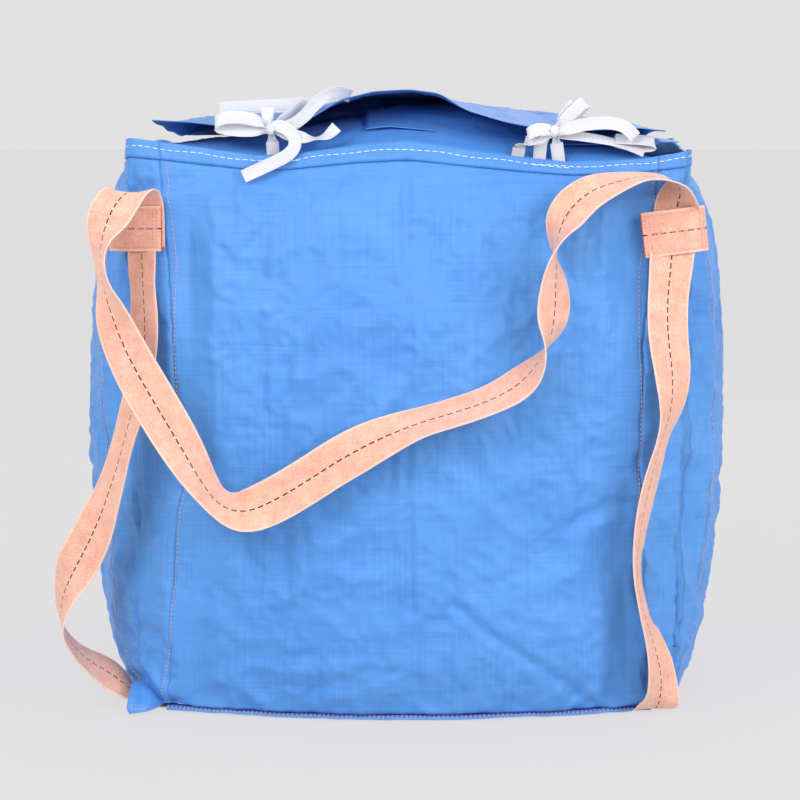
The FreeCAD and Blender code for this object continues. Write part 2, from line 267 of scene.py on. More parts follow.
def addBump(tree, shader, height, distance, strength=1.0, under=None):
    bump = tree.nodes.new("ShaderNodeBump")
    bump.inputs["Strength"].default_value = strength
    bump.inputs["Distance"].default_value = distance
    tree.links.new(height, bump.inputs["Height"])
    if under is not None:
        tree.links.new(under, bump.inputs["Normal"])
    tree.links.new(bump.outputs[0], shader.inputs["Normal"])
    return bump.outputs[0]


def finishShader(tree, shader, colour, rough, sheen, specular=0.5):
    tree.links.new(colour, shader.inputs["Base Color"])
    shader.inputs["Roughness"].default_value = rough
    shader.inputs["Sheen Weight"].default_value = sheen
    shader.inputs["Specular IOR Level"].default_value = specular


def rgb(r, g, b):
    return tuple(((c / 255 + 0.055) / 1.055) ** 2.4 if c > 10 else c / 3295 for c in (r, g, b)) + (1.0,)


# Materials

# The lid colours are the cloth colours made darker: painted shade for the cover's top.
clothLook = {"deep": rgb(82, 148, 222), "pale": rgb(102, 171, 240), "grain": rgb(60, 124, 200),
             "lidDeep": rgb(68, 131, 206), "lidPale": rgb(86, 153, 226), "tapePitch": 0.0023, "rough": 0.46}


def clothMaterial(name, deep, pale):
    mat, tree, shader = newMaterial(name)
    uv, u, v = uvParts(tree)
    coords = tree.nodes.new("ShaderNodeTexCoord").outputs["Object"]
    pitch = math.pi / clothLook["tapePitch"]
    warp = maths(tree, "SINE", maths(tree, "MULTIPLY", u, pitch))
    weft = maths(tree, "SINE", maths(tree, "MULTIPLY", v, pitch))
    weave = maths(tree, "MULTIPLY", warp, weft)
    broad = scaledNoise(tree, coords, 4.0, 4.0)
    # single tapes of the weave are a little darker or paler along their run
    lines = []
    for stretch in ((330.0, 6.0, 1.0), (6.0, 330.0, 1.0)):
        squeeze = tree.nodes.new("ShaderNodeMapping")
        squeeze.inputs["Scale"].default_value = stretch
        tree.links.new(uv, squeeze.inputs[0])
        lines.append(scaledNoise(tree, squeeze.outputs[0], 1.0, 2.0))
    streak = maths(tree, "MULTIPLY", maths(tree, "ADD", lines[0], lines[1]), 0.5)
    tone = maths(tree, "ADD", maths(tree, "MULTIPLY", broad, 0.4), maths(tree, "MULTIPLY", streak, 0.6))
    spread = tree.nodes.new("ShaderNodeMapRange")
    spread.inputs["From Min"].default_value = 0.36
    spread.inputs["From Max"].default_value = 0.64
    tree.links.new(tone, spread.inputs[0])
    colour = mixColour(tree, spread.outputs[0], deep, pale)
    grain = maths(tree, "MULTIPLY_ADD", weave, 0.10, 0.2)
    colour = mixColour(tree, grain, colour, clothLook["grain"], "MULTIPLY")
    finishShader(tree, shader, colour, clothLook["rough"], 0.05, 0.34)
    ridged = tree.nodes.new("ShaderNodeTexNoise")
    ridged.noise_type = "RIDGED_MULTIFRACTAL"
    ridged.inputs["Scale"].default_value = 13.0
    ridged.inputs["Detail"].default_value = 5.0
    ridged.inputs["Roughness"].default_value = 0.5
    tree.links.new(coords, ridged.inputs["Vector"])
    creped = scaledNoise(tree, coords, 55.0, 4.0, 0.6)
    first = addBump(tree, shader, ridged.outputs["Fac"], 0.0035, 0.5)
    second = addBump(tree, shader, creped, 0.0030, 0.6, first)
    third = addBump(tree, shader, streak, 0.0006, 0.5, second)
    addBump(tree, shader, weave, 0.00025, 0.6, third)
    return mat


webbingLook = {"warm": rgb(232, 153, 125), "pale": rgb(252, 209, 190), "dash": rgb(30, 26, 30),
               "edge": rgb(252, 222, 206), "edgeWidth": 0.0032, "cut": rgb(226, 84, 40), "cutLength": 0.0016,
               "width": 0.07, "pitch": 0.0046, "warp": 0.0021, "band": 0.0085,
               "dashLength": 0.0092, "dashPitch": 0.0140, "dashWidth": 0.0021}


def webbingMaterial():
    mat, tree, shader = newMaterial("salmonWebbing")
    uv, u, v = uvParts(tree)
    pitch = 2 * math.pi / webbingLook["pitch"]
    # twill ribs run across the strap and change direction at each band of warp
    band = maths(tree, "PINGPONG", u, webbingLook["band"])
    twill = maths(tree, "SINE", maths(tree, "MULTIPLY", maths(tree, "ADD", v, band), pitch))
    warp = maths(tree, "SINE", maths(tree, "MULTIPLY", u, 2 * math.pi / webbingLook["warp"]))
    weave = maths(tree, "ADD", maths(tree, "MULTIPLY", twill, 0.6), maths(tree, "MULTIPLY", warp, 0.4))
    coords = tree.nodes.new("ShaderNodeTexCoord").outputs["Object"]
    blotch = scaledNoise(tree, coords, 45.0, 3.0)
    speck = scaledNoise(tree, coords, 300.0, 2.0)
    mottle = maths(tree, "SUBTRACT", speck, 0.5)
    tone = maths(tree, "ADD", maths(tree, "ADD", maths(tree, "MULTIPLY", weave, 0.16), blotch), mottle)
    colour = mixColour(tree, tone, webbingLook["warm"], webbingLook["pale"])
    fromMiddle = maths(tree, "ABSOLUTE", maths(tree, "SUBTRACT", u, webbingLook["width"] / 2))
    edge = maths(tree, "GREATER_THAN", fromMiddle, webbingLook["width"] / 2 - webbingLook["edgeWidth"])
    colour = mixColour(tree, maths(tree, "MULTIPLY", edge, 0.6), colour, webbingLook["edge"])
    across = maths(tree, "LESS_THAN", fromMiddle, webbingLook["dashWidth"] / 2)
    along = maths(tree, "FRACT", maths(tree, "DIVIDE", v, webbingLook["dashPitch"]))
    drawn = maths(tree, "LESS_THAN", along, webbingLook["dashLength"] / webbingLook["dashPitch"])
    dash = maths(tree, "MULTIPLY", across, drawn)
    thin = maths(tree, "LESS_THAN", fromMiddle, webbingLook["dashWidth"] / 4)
    colour = mixColour(tree, maths(tree, "MULTIPLY", thin, 0.6), colour, webbingLook["edge"])
    burnt = maths(tree, "LESS_THAN", v, webbingLook["cutLength"])
    colour = mixColour(tree, burnt, colour, webbingLook["cut"])
    colour = mixColour(tree, dash, colour, webbingLook["dash"])
    finishShader(tree, shader, colour, 0.72, 0.35, 0.25)
    addBump(tree, shader, maths(tree, "ADD", weave, mottle), 0.0005, 0.7)
    return mat


tapeLook = {"deep": rgb(202, 204, 214), "pale": rgb(232, 233, 238), "rib": 0.0026, "weft": 0.0014}


def tapeMaterial():
    mat, tree, shader = newMaterial("whiteTape")
    uv, u, v = uvParts(tree)
    rib = maths(tree, "SINE", maths(tree, "MULTIPLY", u, 2 * math.pi / tapeLook["rib"]))
    weft = maths(tree, "SINE", maths(tree, "MULTIPLY", v, 2 * math.pi / tapeLook["weft"]))
    weave = maths(tree, "ADD", rib, maths(tree, "MULTIPLY", weft, 0.3))
    colour = mixColour(tree, maths(tree, "MULTIPLY_ADD", weave, 0.1, 0.5), tapeLook["deep"], tapeLook["pale"])
    finishShader(tree, shader, colour, 0.55, 0.2)
    addBump(tree, shader, weave, 0.0003, 0.6)
    return mat


def threadMaterial(name, colour):
    mat, tree, shader = newMaterial(name)
    coords = tree.nodes.new("ShaderNodeTexCoord").outputs["Object"]
    twist = scaledNoise(tree, coords, 900.0, 1.0)
    tone = mixColour(tree, twist, colour, rgb(255, 250, 246))
    mixed = mixColour(tree, 0.3, colour, tone)
    finishShader(tree, shader, mixed, 0.6, 0.0)
    addBump(tree, shader, twist, 0.0003, 0.5)
    return mat


cloth = clothMaterial("wovenBlueCloth", clothLook["deep"], clothLook["pale"])
# The cover takes a darker copy of the cloth: painted shade on its top.
paintedShadeLidCloth = clothMaterial("wovenLidCloth", clothLook["lidDeep"], clothLook["lidPale"])
webbing = webbingMaterial()
tape = tapeMaterial()
pinkThread = threadMaterial("pinkThread", rgb(232, 158, 150))
whiteThread = threadMaterial("whiteThread", rgb(236, 240, 250))
print("materials made")

# Mesh helpers


def addObject(name, bm, mat, smooth=True):
    mesh = bpy.data.meshes.new(name)
    bm.to_mesh(mesh)
    bm.free()
    if smooth:
        mesh.shade_smooth()
    mesh.materials.append(mat)
    obj = bpy.data.objects.new(name, mesh)
    bpy.context.scene.collection.objects.link(obj)
    return obj


def clothGrid(name, columns, rows, place, size, mat):
    # columns x rows grid set in place by place(u, v), with its UV map in metres.
    bm = bmesh.new()
    uvLayer = bm.loops.layers.uv.new("UVMap")
    bmesh.ops.create_grid(bm, x_segments=columns, y_segments=rows, size=0.5)
    for face in bm.faces:
        for loop in face.loops:
            co = loop.vert.co
            loop[uvLayer].uv = ((co.x + 0.5) * size[0], (co.y + 0.5) * size[1])
    for vert in bm.verts:
        vert.co = place(vert.co.x + 0.5, vert.co.y + 0.5)
    return addObject(name, bm, mat)


def thicken(obj, thickness, offset=0.0, bevel=0.0):
    solid = obj.modifiers.new("thickness", "SOLIDIFY")
    solid.thickness = thickness
    solid.offset = offset
    if bevel:
        edge = obj.modifiers.new("edge", "BEVEL")
        edge.width = bevel
        edge.segments = 2
        edge.limit_method = "ANGLE"
    return obj


def between(table, x, column=1):
    # Straight interpolation in a table sorted by its first column.
    if x <= table[0][0]:
        return table[0][column]
    for low, high in zip(table, table[1:]):
        if x <= high[0]:
            share = (x - low[0]) / (high[0] - low[0])
            return low[column] + (high[column] - low[column]) * share
    return table[-1][column]


def smoothNoise(x, y, z):
    return noise.noise(Vector((x, y, z)))


def routeLine(points):
    # Points along the NURBS curve that has the route's points as its control points.
    curve = bpy.data.curves.new("route", "CURVE")
    curve.dimensions = "3D"
    spline = curve.splines.new("NURBS")
    spline.points.add(len(points) - 1)
    for point, co in zip(spline.points, points):
        point.co = (*co, 1.0)
    spline.order_u = 3
    spline.use_endpoint_u = True
    spline.resolution_u = 10
    obj = bpy.data.objects.new("route", curve)
    mesh = bpy.data.meshes.new_from_object(obj)
    line = [vert.co.copy() for vert in mesh.vertices]
    bpy.data.objects.remove(obj)
    bpy.data.curves.remove(curve)
    bpy.data.meshes.remove(mesh)
    return line


class Strap:
    # The line of a flat strap. Each row of its route is a point and the direction across the strap there.

    def __init__(self, route):
        self.line = routeLine([Vector(row[:3]) for row in route])
        self.run = [0.0]
        for a, b in zip(self.line, self.line[1:]):
            self.run.append(self.run[-1] + (b - a).length)
        self.length = self.run[-1]
        self.across = [v.normalized() for v in routeLine([Vector(row[3:]).normalized() for row in route])]

    def at(self, distance):
        low, high = 0, len(self.run) - 1
        while high - low > 1:
            middle = (low + high) // 2
            if self.run[middle] <= distance:
                low = middle
            else:
                high = middle
        span = max(self.run[high] - self.run[low], 1e-9)
        share = min(max((distance - self.run[low]) / span, 0.0), 1.0)
        centre = self.line[low].lerp(self.line[high], share)
        before = self.line[max(low - 1, 0)]
        after = self.line[min(high + 1, len(self.line) - 1)]
        run = (after - before).normalized()
        side = self.across[low].lerp(self.across[high], share)
        side = (side - run * side.dot(run)).normalized()
        return centre, run, side, run.cross(side)

    def part(self, start, end):
        inner = [p for p, run in zip(self.line, self.run) if start < run < end]
        return [self.at(start)[0]] + inner + [self.at(end)[0]]


def ribbon(name, strap, width, thickness, mat, start=0.0, end=None, cup=0.0, wave=0.0, pinch=(), share=()):
    end = strap.length if end is None else end
    span = end - start
    columns = 8 if width > 0.03 else 4
    rows = max(int(span / (width / 7 if width > 0.03 else 0.0035)), 6)

    def place(u, v):
        distance = start + v * span
        centre, run, side, face = strap.at(distance)
        lean = 2 * u - 1
        ripple = wave * smoothNoise(distance * 14, lean * 1.2, 3.1)
        # gathered narrower where it goes through a knot
        gather = max([math.exp(-((distance - at) / 0.012) ** 2) for at in pinch], default=0.0)
        rolled = gather * 0.004 * math.cos(lean * 3.0)
        reach = lean * width / 2 * (1 - 0.55 * gather) * (between(share, distance) if share else 1.0)
        return centre + side * reach + face * (cup * lean * lean + ripple + rolled)

    obj = clothGrid(name, columns, rows, place, (width, span), mat)
    if start:
        for datum in obj.data.uv_layers[0].data:
            datum.uv[1] += start
    return thicken(obj, thickness, 0.0, thickness * 0.4)


# Slings

sling = {"width": 0.07, "thickness": 0.0022, "cup": 0.0018, "wave": 0.0010, "endRun": 0.165,
         "folded": [(0.0, 0.62), (0.06, 0.75), (0.11, 1.0)]}

frontLoopRoute = [
    (-0.432, -0.500, 0.824, 1, 0, 0), (-0.443, -0.515, 0.813, 1, -0.1, -0.1),
    (-0.456, -0.530, 0.790, 1, -0.2, -0.2), (-0.468, -0.545, 0.745, 0.35, -0.93, -0.1),
    (-0.464, -0.560, 0.692, 0.22, -0.97, 0.1), (-0.449, -0.568, 0.640, 0.8, -0.6, 0.3),
    (-0.428, -0.572, 0.588, 0.9, -0.3, 0.4), (-0.402, -0.575, 0.538, 0.9, 0, 0.45),
    (-0.372, -0.578, 0.487, 0.85, 0.2, 0.45), (-0.342, -0.580, 0.435, 0.75, 0.5, 0.45),
    (-0.316, -0.580, 0.388, 0.5, 0.8, 0.35), (-0.288, -0.578, 0.350, 0.1, 0.9, 0.5),
    (-0.250, -0.577, 0.340, -0.2, 0.5, 0.85), (-0.205, -0.580, 0.360, -0.4, 0.1, 0.9),
    (-0.155, -0.584, 0.391, -0.5, 0, 0.86), (-0.105, -0.586, 0.424, -0.5, 0, 0.86),
    (-0.050, -0.586, 0.453, -0.41, 0.5, 0.75), (0.008, -0.584, 0.477, -0.22, 0.82, 0.50),
    (0.068, -0.582, 0.494, -0.2, 0.84, 0.5), (0.126, -0.578, 0.513, -0.28, 0.82, 0.48),
    (0.175, -0.574, 0.541, -0.46, 0.75, 0.45), (0.208, -0.568, 0.586, 0.05, 1, 0.1),
    (0.220, -0.562, 0.640, 0.8, 0.6, 0), (0.222, -0.556, 0.695, 0.6, 0.8, 0),
    (0.222, -0.548, 0.748, -0.15, 1, 0.05), (0.238, -0.540, 0.795, -0.7, 0.5, 0.4),
    (0.275, -0.530, 0.828, -0.4, 0.7, 0.6), (0.325, -0.516, 0.844, -0.2, 0.9, 0.3),
    (0.362, -0.504, 0.850, -0.1, 1, 0.1),
]
leftEndRoute = [
    (-0.412, -0.463, 0.738, 1, 0, 0), (-0.412, -0.463, 0.775, 1, 0, 0),
    (-0.413, -0.466, 0.806, 1, 0, 0), (-0.418, -0.479, 0.824, 1, 0, 0),
]
rightEndRoute = [
    (0.408, -0.463, 0.738, -1, 0, 0), (0.410, -0.463, 0.772, -1, 0, 0),
    (0.414, -0.460, 0.804, -1, 0.04, 0), (0.421, -0.473, 0.828, -0.4, 0.9, 0.1),
    (0.406, -0.486, 0.843, -0.1, 1, 0.1),
]
leftLegRoute = [
    (-0.413, -0.464, 0.742, 1, -0.1, 0), (-0.410, -0.476, 0.690, 0.7, -0.6, 0),
    (-0.407, -0.490, 0.645, 0.6, -0.7, 0), (-0.405, -0.501, 0.596, 0.6, -0.7, 0),
    (-0.411, -0.507, 0.545, 0.6, -0.75, 0), (-0.424, -0.510, 0.492, 0.6, -0.75, 0.1),
    (-0.440, -0.510, 0.438, 0.55, -0.8, 0.15), (-0.455, -0.506, 0.384, 0.6, -0.75, 0.2),
    (-0.474, -0.498, 0.332, 0.75, -0.6, 0.3), (-0.497, -0.484, 0.282, 0.85, -0.4, 0.35),
    (-0.523, -0.468, 0.235, 0.85, -0.4, 0.4), (-0.545, -0.452, 0.188, 0.5, -0.85, 0.1),
    (-0.550, -0.438, 0.140, 0.1, -1, 0), (-0.533, -0.425, 0.104, 0.1, -1, -0.2),
    (-0.508, -0.408, 0.076, 0.2, -0.9, -0.5), (-0.480, -0.394, 0.056, 0.2, -0.75, -0.75),
    (-0.456, -0.388, 0.036, 0.2, -0.75, -0.6), (-0.432, -0.384, 0.012, 0.4, -0.9, -0.2),
    (-0.408, -0.378, 0.003, 0.55, -0.8, 0), (-0.376, -0.364, 0.0015, 0.6, -0.7, 0),
]
rightLegRoute = [
    (0.408, -0.464, 0.742, 1, 0, 0), (0.401, -0.478, 0.690, 0.9, 0.35, 0),
    (0.397, -0.492, 0.645, 0.9, 0.4, 0), (0.398, -0.502, 0.598, 0.9, 0.4, 0),
    (0.405, -0.508, 0.548, 0.8, 0.5, 0), (0.404, -0.512, 0.498, 0.6, 0.75, 0.1),
    (0.389, -0.515, 0.448, 0.32, 0.94, 0.1), (0.375, -0.515, 0.396, 0.45, 0.9, 0.1),
    (0.363, -0.510, 0.342, 0.4, 0.9, 0), (0.354, -0.510, 0.288, 0.35, 0.95, 0),
    (0.352, -0.505, 0.234, 0.22, 0.97, 0), (0.361, -0.498, 0.182, 0.22, 0.97, 0),
    (0.378, -0.488, 0.132, 0.38, 0.92, 0), (0.393, -0.478, 0.084, 0.6, 0.8, 0),
    (0.397, -0.464, 0.042, 0.7, 0.7, 0), (0.394, -0.452, 0.016, 0.97, 0.2, 0),
    (0.388, -0.428, 0.003, 0.97, 0.22, 0), (0.378, -0.384, 0.0015, 0.97, 0.22, 0),
]


def toRear(route):
    return [(x, -y, z, a, -b, c) for x, y, z, a, b, c in route]


def addLoop(side, body, turn):
    route = turn(leftEndRoute + frontLoopRoute + rightEndRoute[::-1])
    strap = Strap(route)
    cut = sling["endRun"]
    look = (sling["width"], sling["thickness"], webbing)
    leftEnd = ribbon(f"loopEnd_{side}_left", strap, *look, 0.0, cut, sling["cup"])
    rightEnd = ribbon(f"loopEnd_{side}_right", strap, *look, strap.length - cut, None, sling["cup"])
    free = ribbon(f"liftingLoop_{side}", strap, *look, cut, strap.length - cut, sling["cup"], sling["wave"])
    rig.ride(free, body)
    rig.replaces(free, f"lifting_loop_{side}")
    hinges = turn(leftEndRoute[-2:] + frontLoopRoute[:2] + rightEndRoute[-2:] + frontLoopRoute[-2:])
    for end, name, start, stop in ((leftEnd, "left", hinges[1][:3], hinges[3][:3]),
                                   (rightEnd, "right", hinges[5][:3], hinges[6][:3])):
        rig.blend(end, "root", body, start=start, end=stop)
        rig.replaces(end, f"loop_end_{side}_{name}")
    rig.cord(free, exit=tuple(strap.at(cut)[0]), length=round(strap.length - 2 * cut, 3),
            diameter=sling["width"], far_end="object", stiffness="limp", lay="hanging",
            path=strap.part(cut, strap.length - cut),
            with_pieces=[leftEnd, rightEnd])
    for piece in (free, leftEnd, rightEnd):
        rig.slot(piece, "webbing")


def addLeg(side, hand, route):
    strap = Strap(route)
    leg = ribbon(f"slingLeg_{side}_{hand}", strap, sling["width"], sling["thickness"], webbing,
                 cup=sling["cup"], wave=sling["wave"], share=sling["folded"] if hand == "left" else ())
    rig.ride(leg, "root")
    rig.replaces(leg, f"sling_leg_{side}_{hand}")
    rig.slot(leg, "webbing")
    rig.cord(leg, exit=route[0][:3], length=round(strap.length, 3), diameter=sling["width"], far_end="object",
            stiffness="limp", lay="hanging", path=strap.line)


for side, turn in (("front", list), ("rear", toRear)):
    addLoop(side, side + "_loop", turn)
    addLeg(side, "left", turn(leftLegRoute))
    addLeg(side, "right", turn(rightLegRoute))
print("slings made")

# Sewn patches and base straps

patch = {"width": 0.07, "thickness": 0.0024}
rightPatchRoute = [
    (0.360, -0.4714, 0.757, -0.13, 0, 1), (0.376, -0.4724, 0.759, -0.13, 0, 1),
    (0.420, -0.4728, 0.7645, -0.13, 0, 1), (0.447, -0.4724, 0.768, -0.13, 0, 1),
    (0.460, -0.4584, 0.769, -0.13, 0, 1),
]
leftPatchRoute = [
    (-0.381, -0.4700, 0.768, -0.3, 0, 1), (-0.396, -0.4715, 0.768, -0.12, 0, 1),
    (-0.420, -0.4715, 0.768, 0, 0, 1), (-0.447, -0.4690, 0.768, 0, 0, 1),
    (-0.464, -0.4500, 0.768, 0, 0, 1),
]


def addPatches():
    straps = {}
    for side, turn in (("front", list), ("rear", toRear)):
        for hand, route in (("right", rightPatchRoute), ("left", leftPatchRoute)):
            strap = Strap(turn(route))
            piece = ribbon(f"slingPatch_{side}_{hand}", strap, patch["width"], patch["thickness"], webbing)
            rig.ride(piece, "root")
            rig.replaces(piece, f"sling_patch_{side}_{hand}")
            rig.slot(piece, "webbing")
            straps[side, hand] = strap
    return straps


patchStraps = addPatches()

# The bag's cloth

# Outline at each height: seam half length, seam out, front out, side out, corner
bag = {
    "levels": [
        (0.009, 0.380, 0.424, 0.492, 0.470, 0.404),
        (0.060, 0.375, 0.443, 0.510, 0.490, 0.422),
        (0.200, 0.362, 0.462, 0.526, 0.510, 0.433),
        (0.400, 0.352, 0.476, 0.532, 0.524, 0.440),
        (0.600, 0.356, 0.474, 0.522, 0.523, 0.440),
        (0.780, 0.374, 0.452, 0.480, 0.494, 0.434),
        (0.875, 0.384, 0.439, 0.457, 0.460, 0.431),
        (0.900, 0.386, 0.437, 0.452, 0.447, 0.431),
    ],
    "cuts": 63,            # cloth mesh cells along one side, less one
    "fineCuts": 2,         # further cuts of each cell after the simulation
    "seamShare": 0.86,     # how much of a side lies between its two seams
    "hem": 0.872,          # where the turned-over hem starts
    "tucks": (0.0, 0.034, 0.0, 0.0),    # how far each side is drawn in at its foot
    "grow": -0.02,         # spare cloth, as a share of its length
    "frames": 16,
    "cap": 0.016,          # how far the simulation may move a point
    "panelThickness": 0.0010,
    "hemThickness": 0.0030,
    "floor": 0.0045,       # the lowest that the cloth hangs
}
rimDrop = [(-0.433, 0.008), (-0.37, 0.0), (-0.235, -0.02), (-0.18, -0.017), (-0.085, -0.004), (0.0, 0.002),
           (0.105, -0.013), (0.175, -0.022), (0.25, -0.03), (0.325, -0.027), (0.37, -0.023), (0.437, -0.012)]


def eased(table, x, column):
    # between() with rounded corners, from three nearby places
    reach = 0.045
    low, middle, high = (between(table, x + step, column) for step in (-reach, 0, reach))
    return (low + 2 * middle + high) / 4


def wallPoint(t, height, out, tuck=0.0):
    # Place on a wall that faces -Y. t runs from corner (-1) to corner (1); out is the middle's column.
    half, seam, middle, corner = (eased(bag["levels"], height, c) for c in (1, 2, out, 5))
    middle -= tuck * (max(1 - height / 0.34, 0.0) ** 1.3 + 0.25 * math.sin(math.pi * height / 0.9))
    share = bag["seamShare"]
    if abs(t) <= share:
        s = t / share
        return Vector((half * s, -(middle - (middle - seam) * s * s), height))
    s = (abs(t) - share) / (1 - share) / 2
    pull = 2 * corner - (half + seam) / 2
    x = (1 - s) ** 2 * half + 2 * s * (1 - s) * pull + s * s * seam
    y = (1 - s) ** 2 * seam + 2 * s * (1 - s) * pull + s * s * half
    return Vector((math.copysign(x, t), -y, height))


def turned(co, quarter):
    for _ in range(quarter):
        co = Vector((-co.y, co.x, co.z))
    return co


def shellMesh():
    # Box of cloth open at the mouth, each vertex marked with its side, t and height.
    bm = bmesh.new()
    bmesh.ops.create_cube(bm, size=2.0)
    bmesh.ops.subdivide_edges(bm, edges=bm.edges[:], cuts=bag["cuts"], use_grid_fill=True)
    lid = [f for f in bm.faces if f.calc_center_median().z > 0.9999]
    bmesh.ops.delete(bm, geom=lid, context="FACES")
    sideOf = bm.verts.layers.int.new("side")
    alongOf = bm.verts.layers.float.new("along")
    heightOf = bm.verts.layers.float.new("height")
    low, high = bag["levels"][0][0], bag["levels"][-1][0]
    for vert in bm.verts:
        x, y, z = vert.co
        height = low + (high - low) * (z + 1) / 2
        if z < -0.9999 and max(abs(x), abs(y)) < 0.9999:
            edge = bag["levels"][0][2]
            vert[sideOf] = 4
            vert.co = (x * edge, y * edge, low)
            continue
        quarter = 0 if y < -0.9999 else 1 if x > 0.9999 else 2 if y > 0.9999 else 3
        t = (x, y, -x, -y)[quarter]
        vert[sideOf], vert[alongOf], vert[heightOf] = quarter, t, height
        vert.co = turned(wallPoint(t, height, 3 if quarter % 2 == 0 else 4, bag["tucks"][quarter]), quarter)
    bmesh.ops.recalc_face_normals(bm, faces=bm.faces[:])
    return bm


def simulate(obj, pins):
    # Cloth with a little spare length, blown out between its sewn edges.
    group = obj.vertex_groups.new(name="pins")
    for index, weight in pins:
        group.add([index], weight, "REPLACE")
    start = [v.co.copy() for v in obj.data.vertices]
    mod = obj.modifiers.new("cloth", "CLOTH")
    settings = mod.settings
    settings.quality = 5
    settings.mass = 0.15
    settings.tension_stiffness = 25
    settings.compression_stiffness = 18
    settings.shear_stiffness = 6
    settings.bending_stiffness = 0.35
    settings.use_pressure = True
    settings.uniform_pressure_force = 1.2
    settings.shrink_min = bag["grow"]
    settings.shrink_max = bag["grow"]
    settings.vertex_group_mass = "pins"
    settings.effector_weights.gravity = 0.0
    mod.collision_settings.use_collision = False
    scene = bpy.context.scene
    for number in range(1, bag["frames"] + 1):
        scene.frame_set(number)
    shaped = obj.evaluated_get(bpy.context.evaluated_depsgraph_get()).data
    cap = bag["cap"]
    for vert, done, was in zip(obj.data.vertices, shaped.vertices, start):
        move = done.co - was
        if move.length > cap:
            move *= cap / move.length
        vert.co = was + move
    obj.modifiers.remove(mod)
    scene.frame_set(1)


# Folds and creases: points in the wall's own x and z, depth, and how wide they are
creases = {
    0: [
        ([(-0.005, 0.87), (0.000, 0.62), (-0.004, 0.40), (0.004, 0.18)], 0.0032, 0.007),
        ([(-0.215, 0.80), (-0.235, 0.66), (-0.222, 0.50), (-0.232, 0.36)], 0.0022, 0.010),
        ([(-0.190, 0.56), (-0.200, 0.42), (-0.192, 0.22)], 0.0030, 0.011),
        ([(-0.022, 0.50), (-0.028, 0.30), (-0.014, 0.12)], 0.0018, 0.009),
        ([(0.070, 0.190), (0.170, 0.110), (0.240, 0.060), (0.310, 0.004)], 0.0045, 0.009),
        ([(0.346, 0.345), (0.300, 0.335), (0.245, 0.310)], 0.0042, 0.011),
        ([(-0.330, 0.80), (-0.280, 0.72), (-0.200, 0.69)], 0.0028, 0.013),
        ([(-0.340, 0.36), (-0.270, 0.30), (-0.230, 0.20)], 0.0030, 0.014),
        ([(0.120, 0.74), (0.190, 0.66), (0.260, 0.64)], 0.0022, 0.012),
        ([(-0.330, 0.070), (-0.250, 0.110), (-0.150, 0.100)], 0.0032, 0.014),
        ([(0.080, 0.060), (-0.040, 0.085), (-0.150, 0.045)], 0.0024, 0.012),
        ([(0.230, 0.480), (0.290, 0.400), (0.330, 0.390)], 0.0026, 0.013),
    ],
    1: [
        ([(-0.30, 0.40), (-0.22, 0.33), (-0.12, 0.30), (0.02, 0.33)], 0.0060, 0.016),
        ([(-0.02, 0.86), (0.00, 0.55), (-0.01, 0.20)], 0.0034, 0.009),
        ([(0.20, 0.70), (0.12, 0.60), (0.16, 0.44)], 0.0034, 0.015),
        ([(-0.30, 0.10), (-0.18, 0.17), (-0.05, 0.13)], 0.0040, 0.014),
    ],
    2: [
        ([(0.01, 0.86), (0.00, 0.50), (0.01, 0.12)], 0.0032, 0.008),
        ([(-0.24, 0.75), (-0.20, 0.50), (-0.25, 0.25)], 0.0026, 0.011),
        ([(0.30, 0.34), (0.20, 0.26), (0.05, 0.24)], 0.0040, 0.014),
        ([(-0.30, 0.06), (-0.16, 0.16), (-0.02, 0.19)], 0.0040, 0.012),
    ],
    3: [
        ([(0.00, 0.86), (0.01, 0.52), (-0.01, 0.16)], 0.0034, 0.009),
        ([(0.28, 0.42), (0.18, 0.35), (0.04, 0.36)], 0.0048, 0.015),
        ([(-0.22, 0.66), (-0.14, 0.56), (-0.18, 0.40)], 0.0032, 0.014),
    ],
}
crinkle = {"big": 0.0068, "mid": 0.0044, "fine": 0.0018, "lowerCorner": 0.013}


def nearPath(path, x, z):
    best = 9.0
    for (ax, az), (bx, bz) in zip(path, path[1:]):
        dx, dz = bx - ax, bz - az
        share = ((x - ax) * dx + (z - az) * dz) / (dx * dx + dz * dz)
        share = min(max(share, 0.0), 1.0)
        best = min(best, math.hypot(x - ax - dx * share, z - az - dz * share))
    return best


def creaseDepth(side, x, z):
    depth = 0.0
    for path, deep, wide in creases[side]:
        away = nearPath(path, x, z)
        if away < 4 * wide:
            beside = math.exp(-((away - 1.9 * wide) / wide) ** 2)
            depth += deep * (math.exp(-(away / wide) ** 2) - 0.55 * beside)
    return depth


def ridges(p, scale, seed):
    # sharp low folds with soft valleys between them
    value = noise.noise(Vector((p.x * scale + seed, p.y * scale, p.z * scale)))
    return 1.0 - 2.0 * abs(value) * 1.6


def wrinkle(side, x, p, height):
    rim = min(max((0.885 - height) / 0.10, 0.0), 1.0)
    depth = crinkle["big"] * noise.noise(Vector((p.x * 5.5 + side * 7.1, p.y * 5.5, p.z * 4.5)))
    depth += crinkle["mid"] * (ridges(p, 13.0, side * 3.7) - 0.5)
    depth += crinkle["fine"] * (ridges(p, 42.0, side * 1.9) - 0.5)
    low = min(max((0.15 - height) / 0.15, 0.0), 1.0)
    corner = min(max((abs(x) - 0.22) / 0.15, 0.0), 1.0)
    depth += crinkle["lowerCorner"] * low * (0.25 + 0.75 * corner) * (ridges(p, 17.0, 11.0) - 0.6)
    return depth * (0.25 + 0.75 * rim) - creaseDepth(side, x, height)


def rimShift(co, height):
    # The mouth's edge dips and rises between its corners.
    share = min(max((height - 0.70) / 0.20, 0.0), 1.0) ** 2
    front = between(rimDrop, co.x)
    back = 0.5 * between(rimDrop, -co.x) + 0.004 * math.sin(co.x * 17)
    sideways = 0.006 * math.sin(co.y * 11 + co.x * 3) - 0.006
    weight = min(max((abs(co.y) / 0.43 - 0.9) / 0.1, 0.0), 1.0)
    edge = front if co.y < 0 else back
    return share * (edge * weight + (edge * 0.3 + sideways) * (1 - weight))


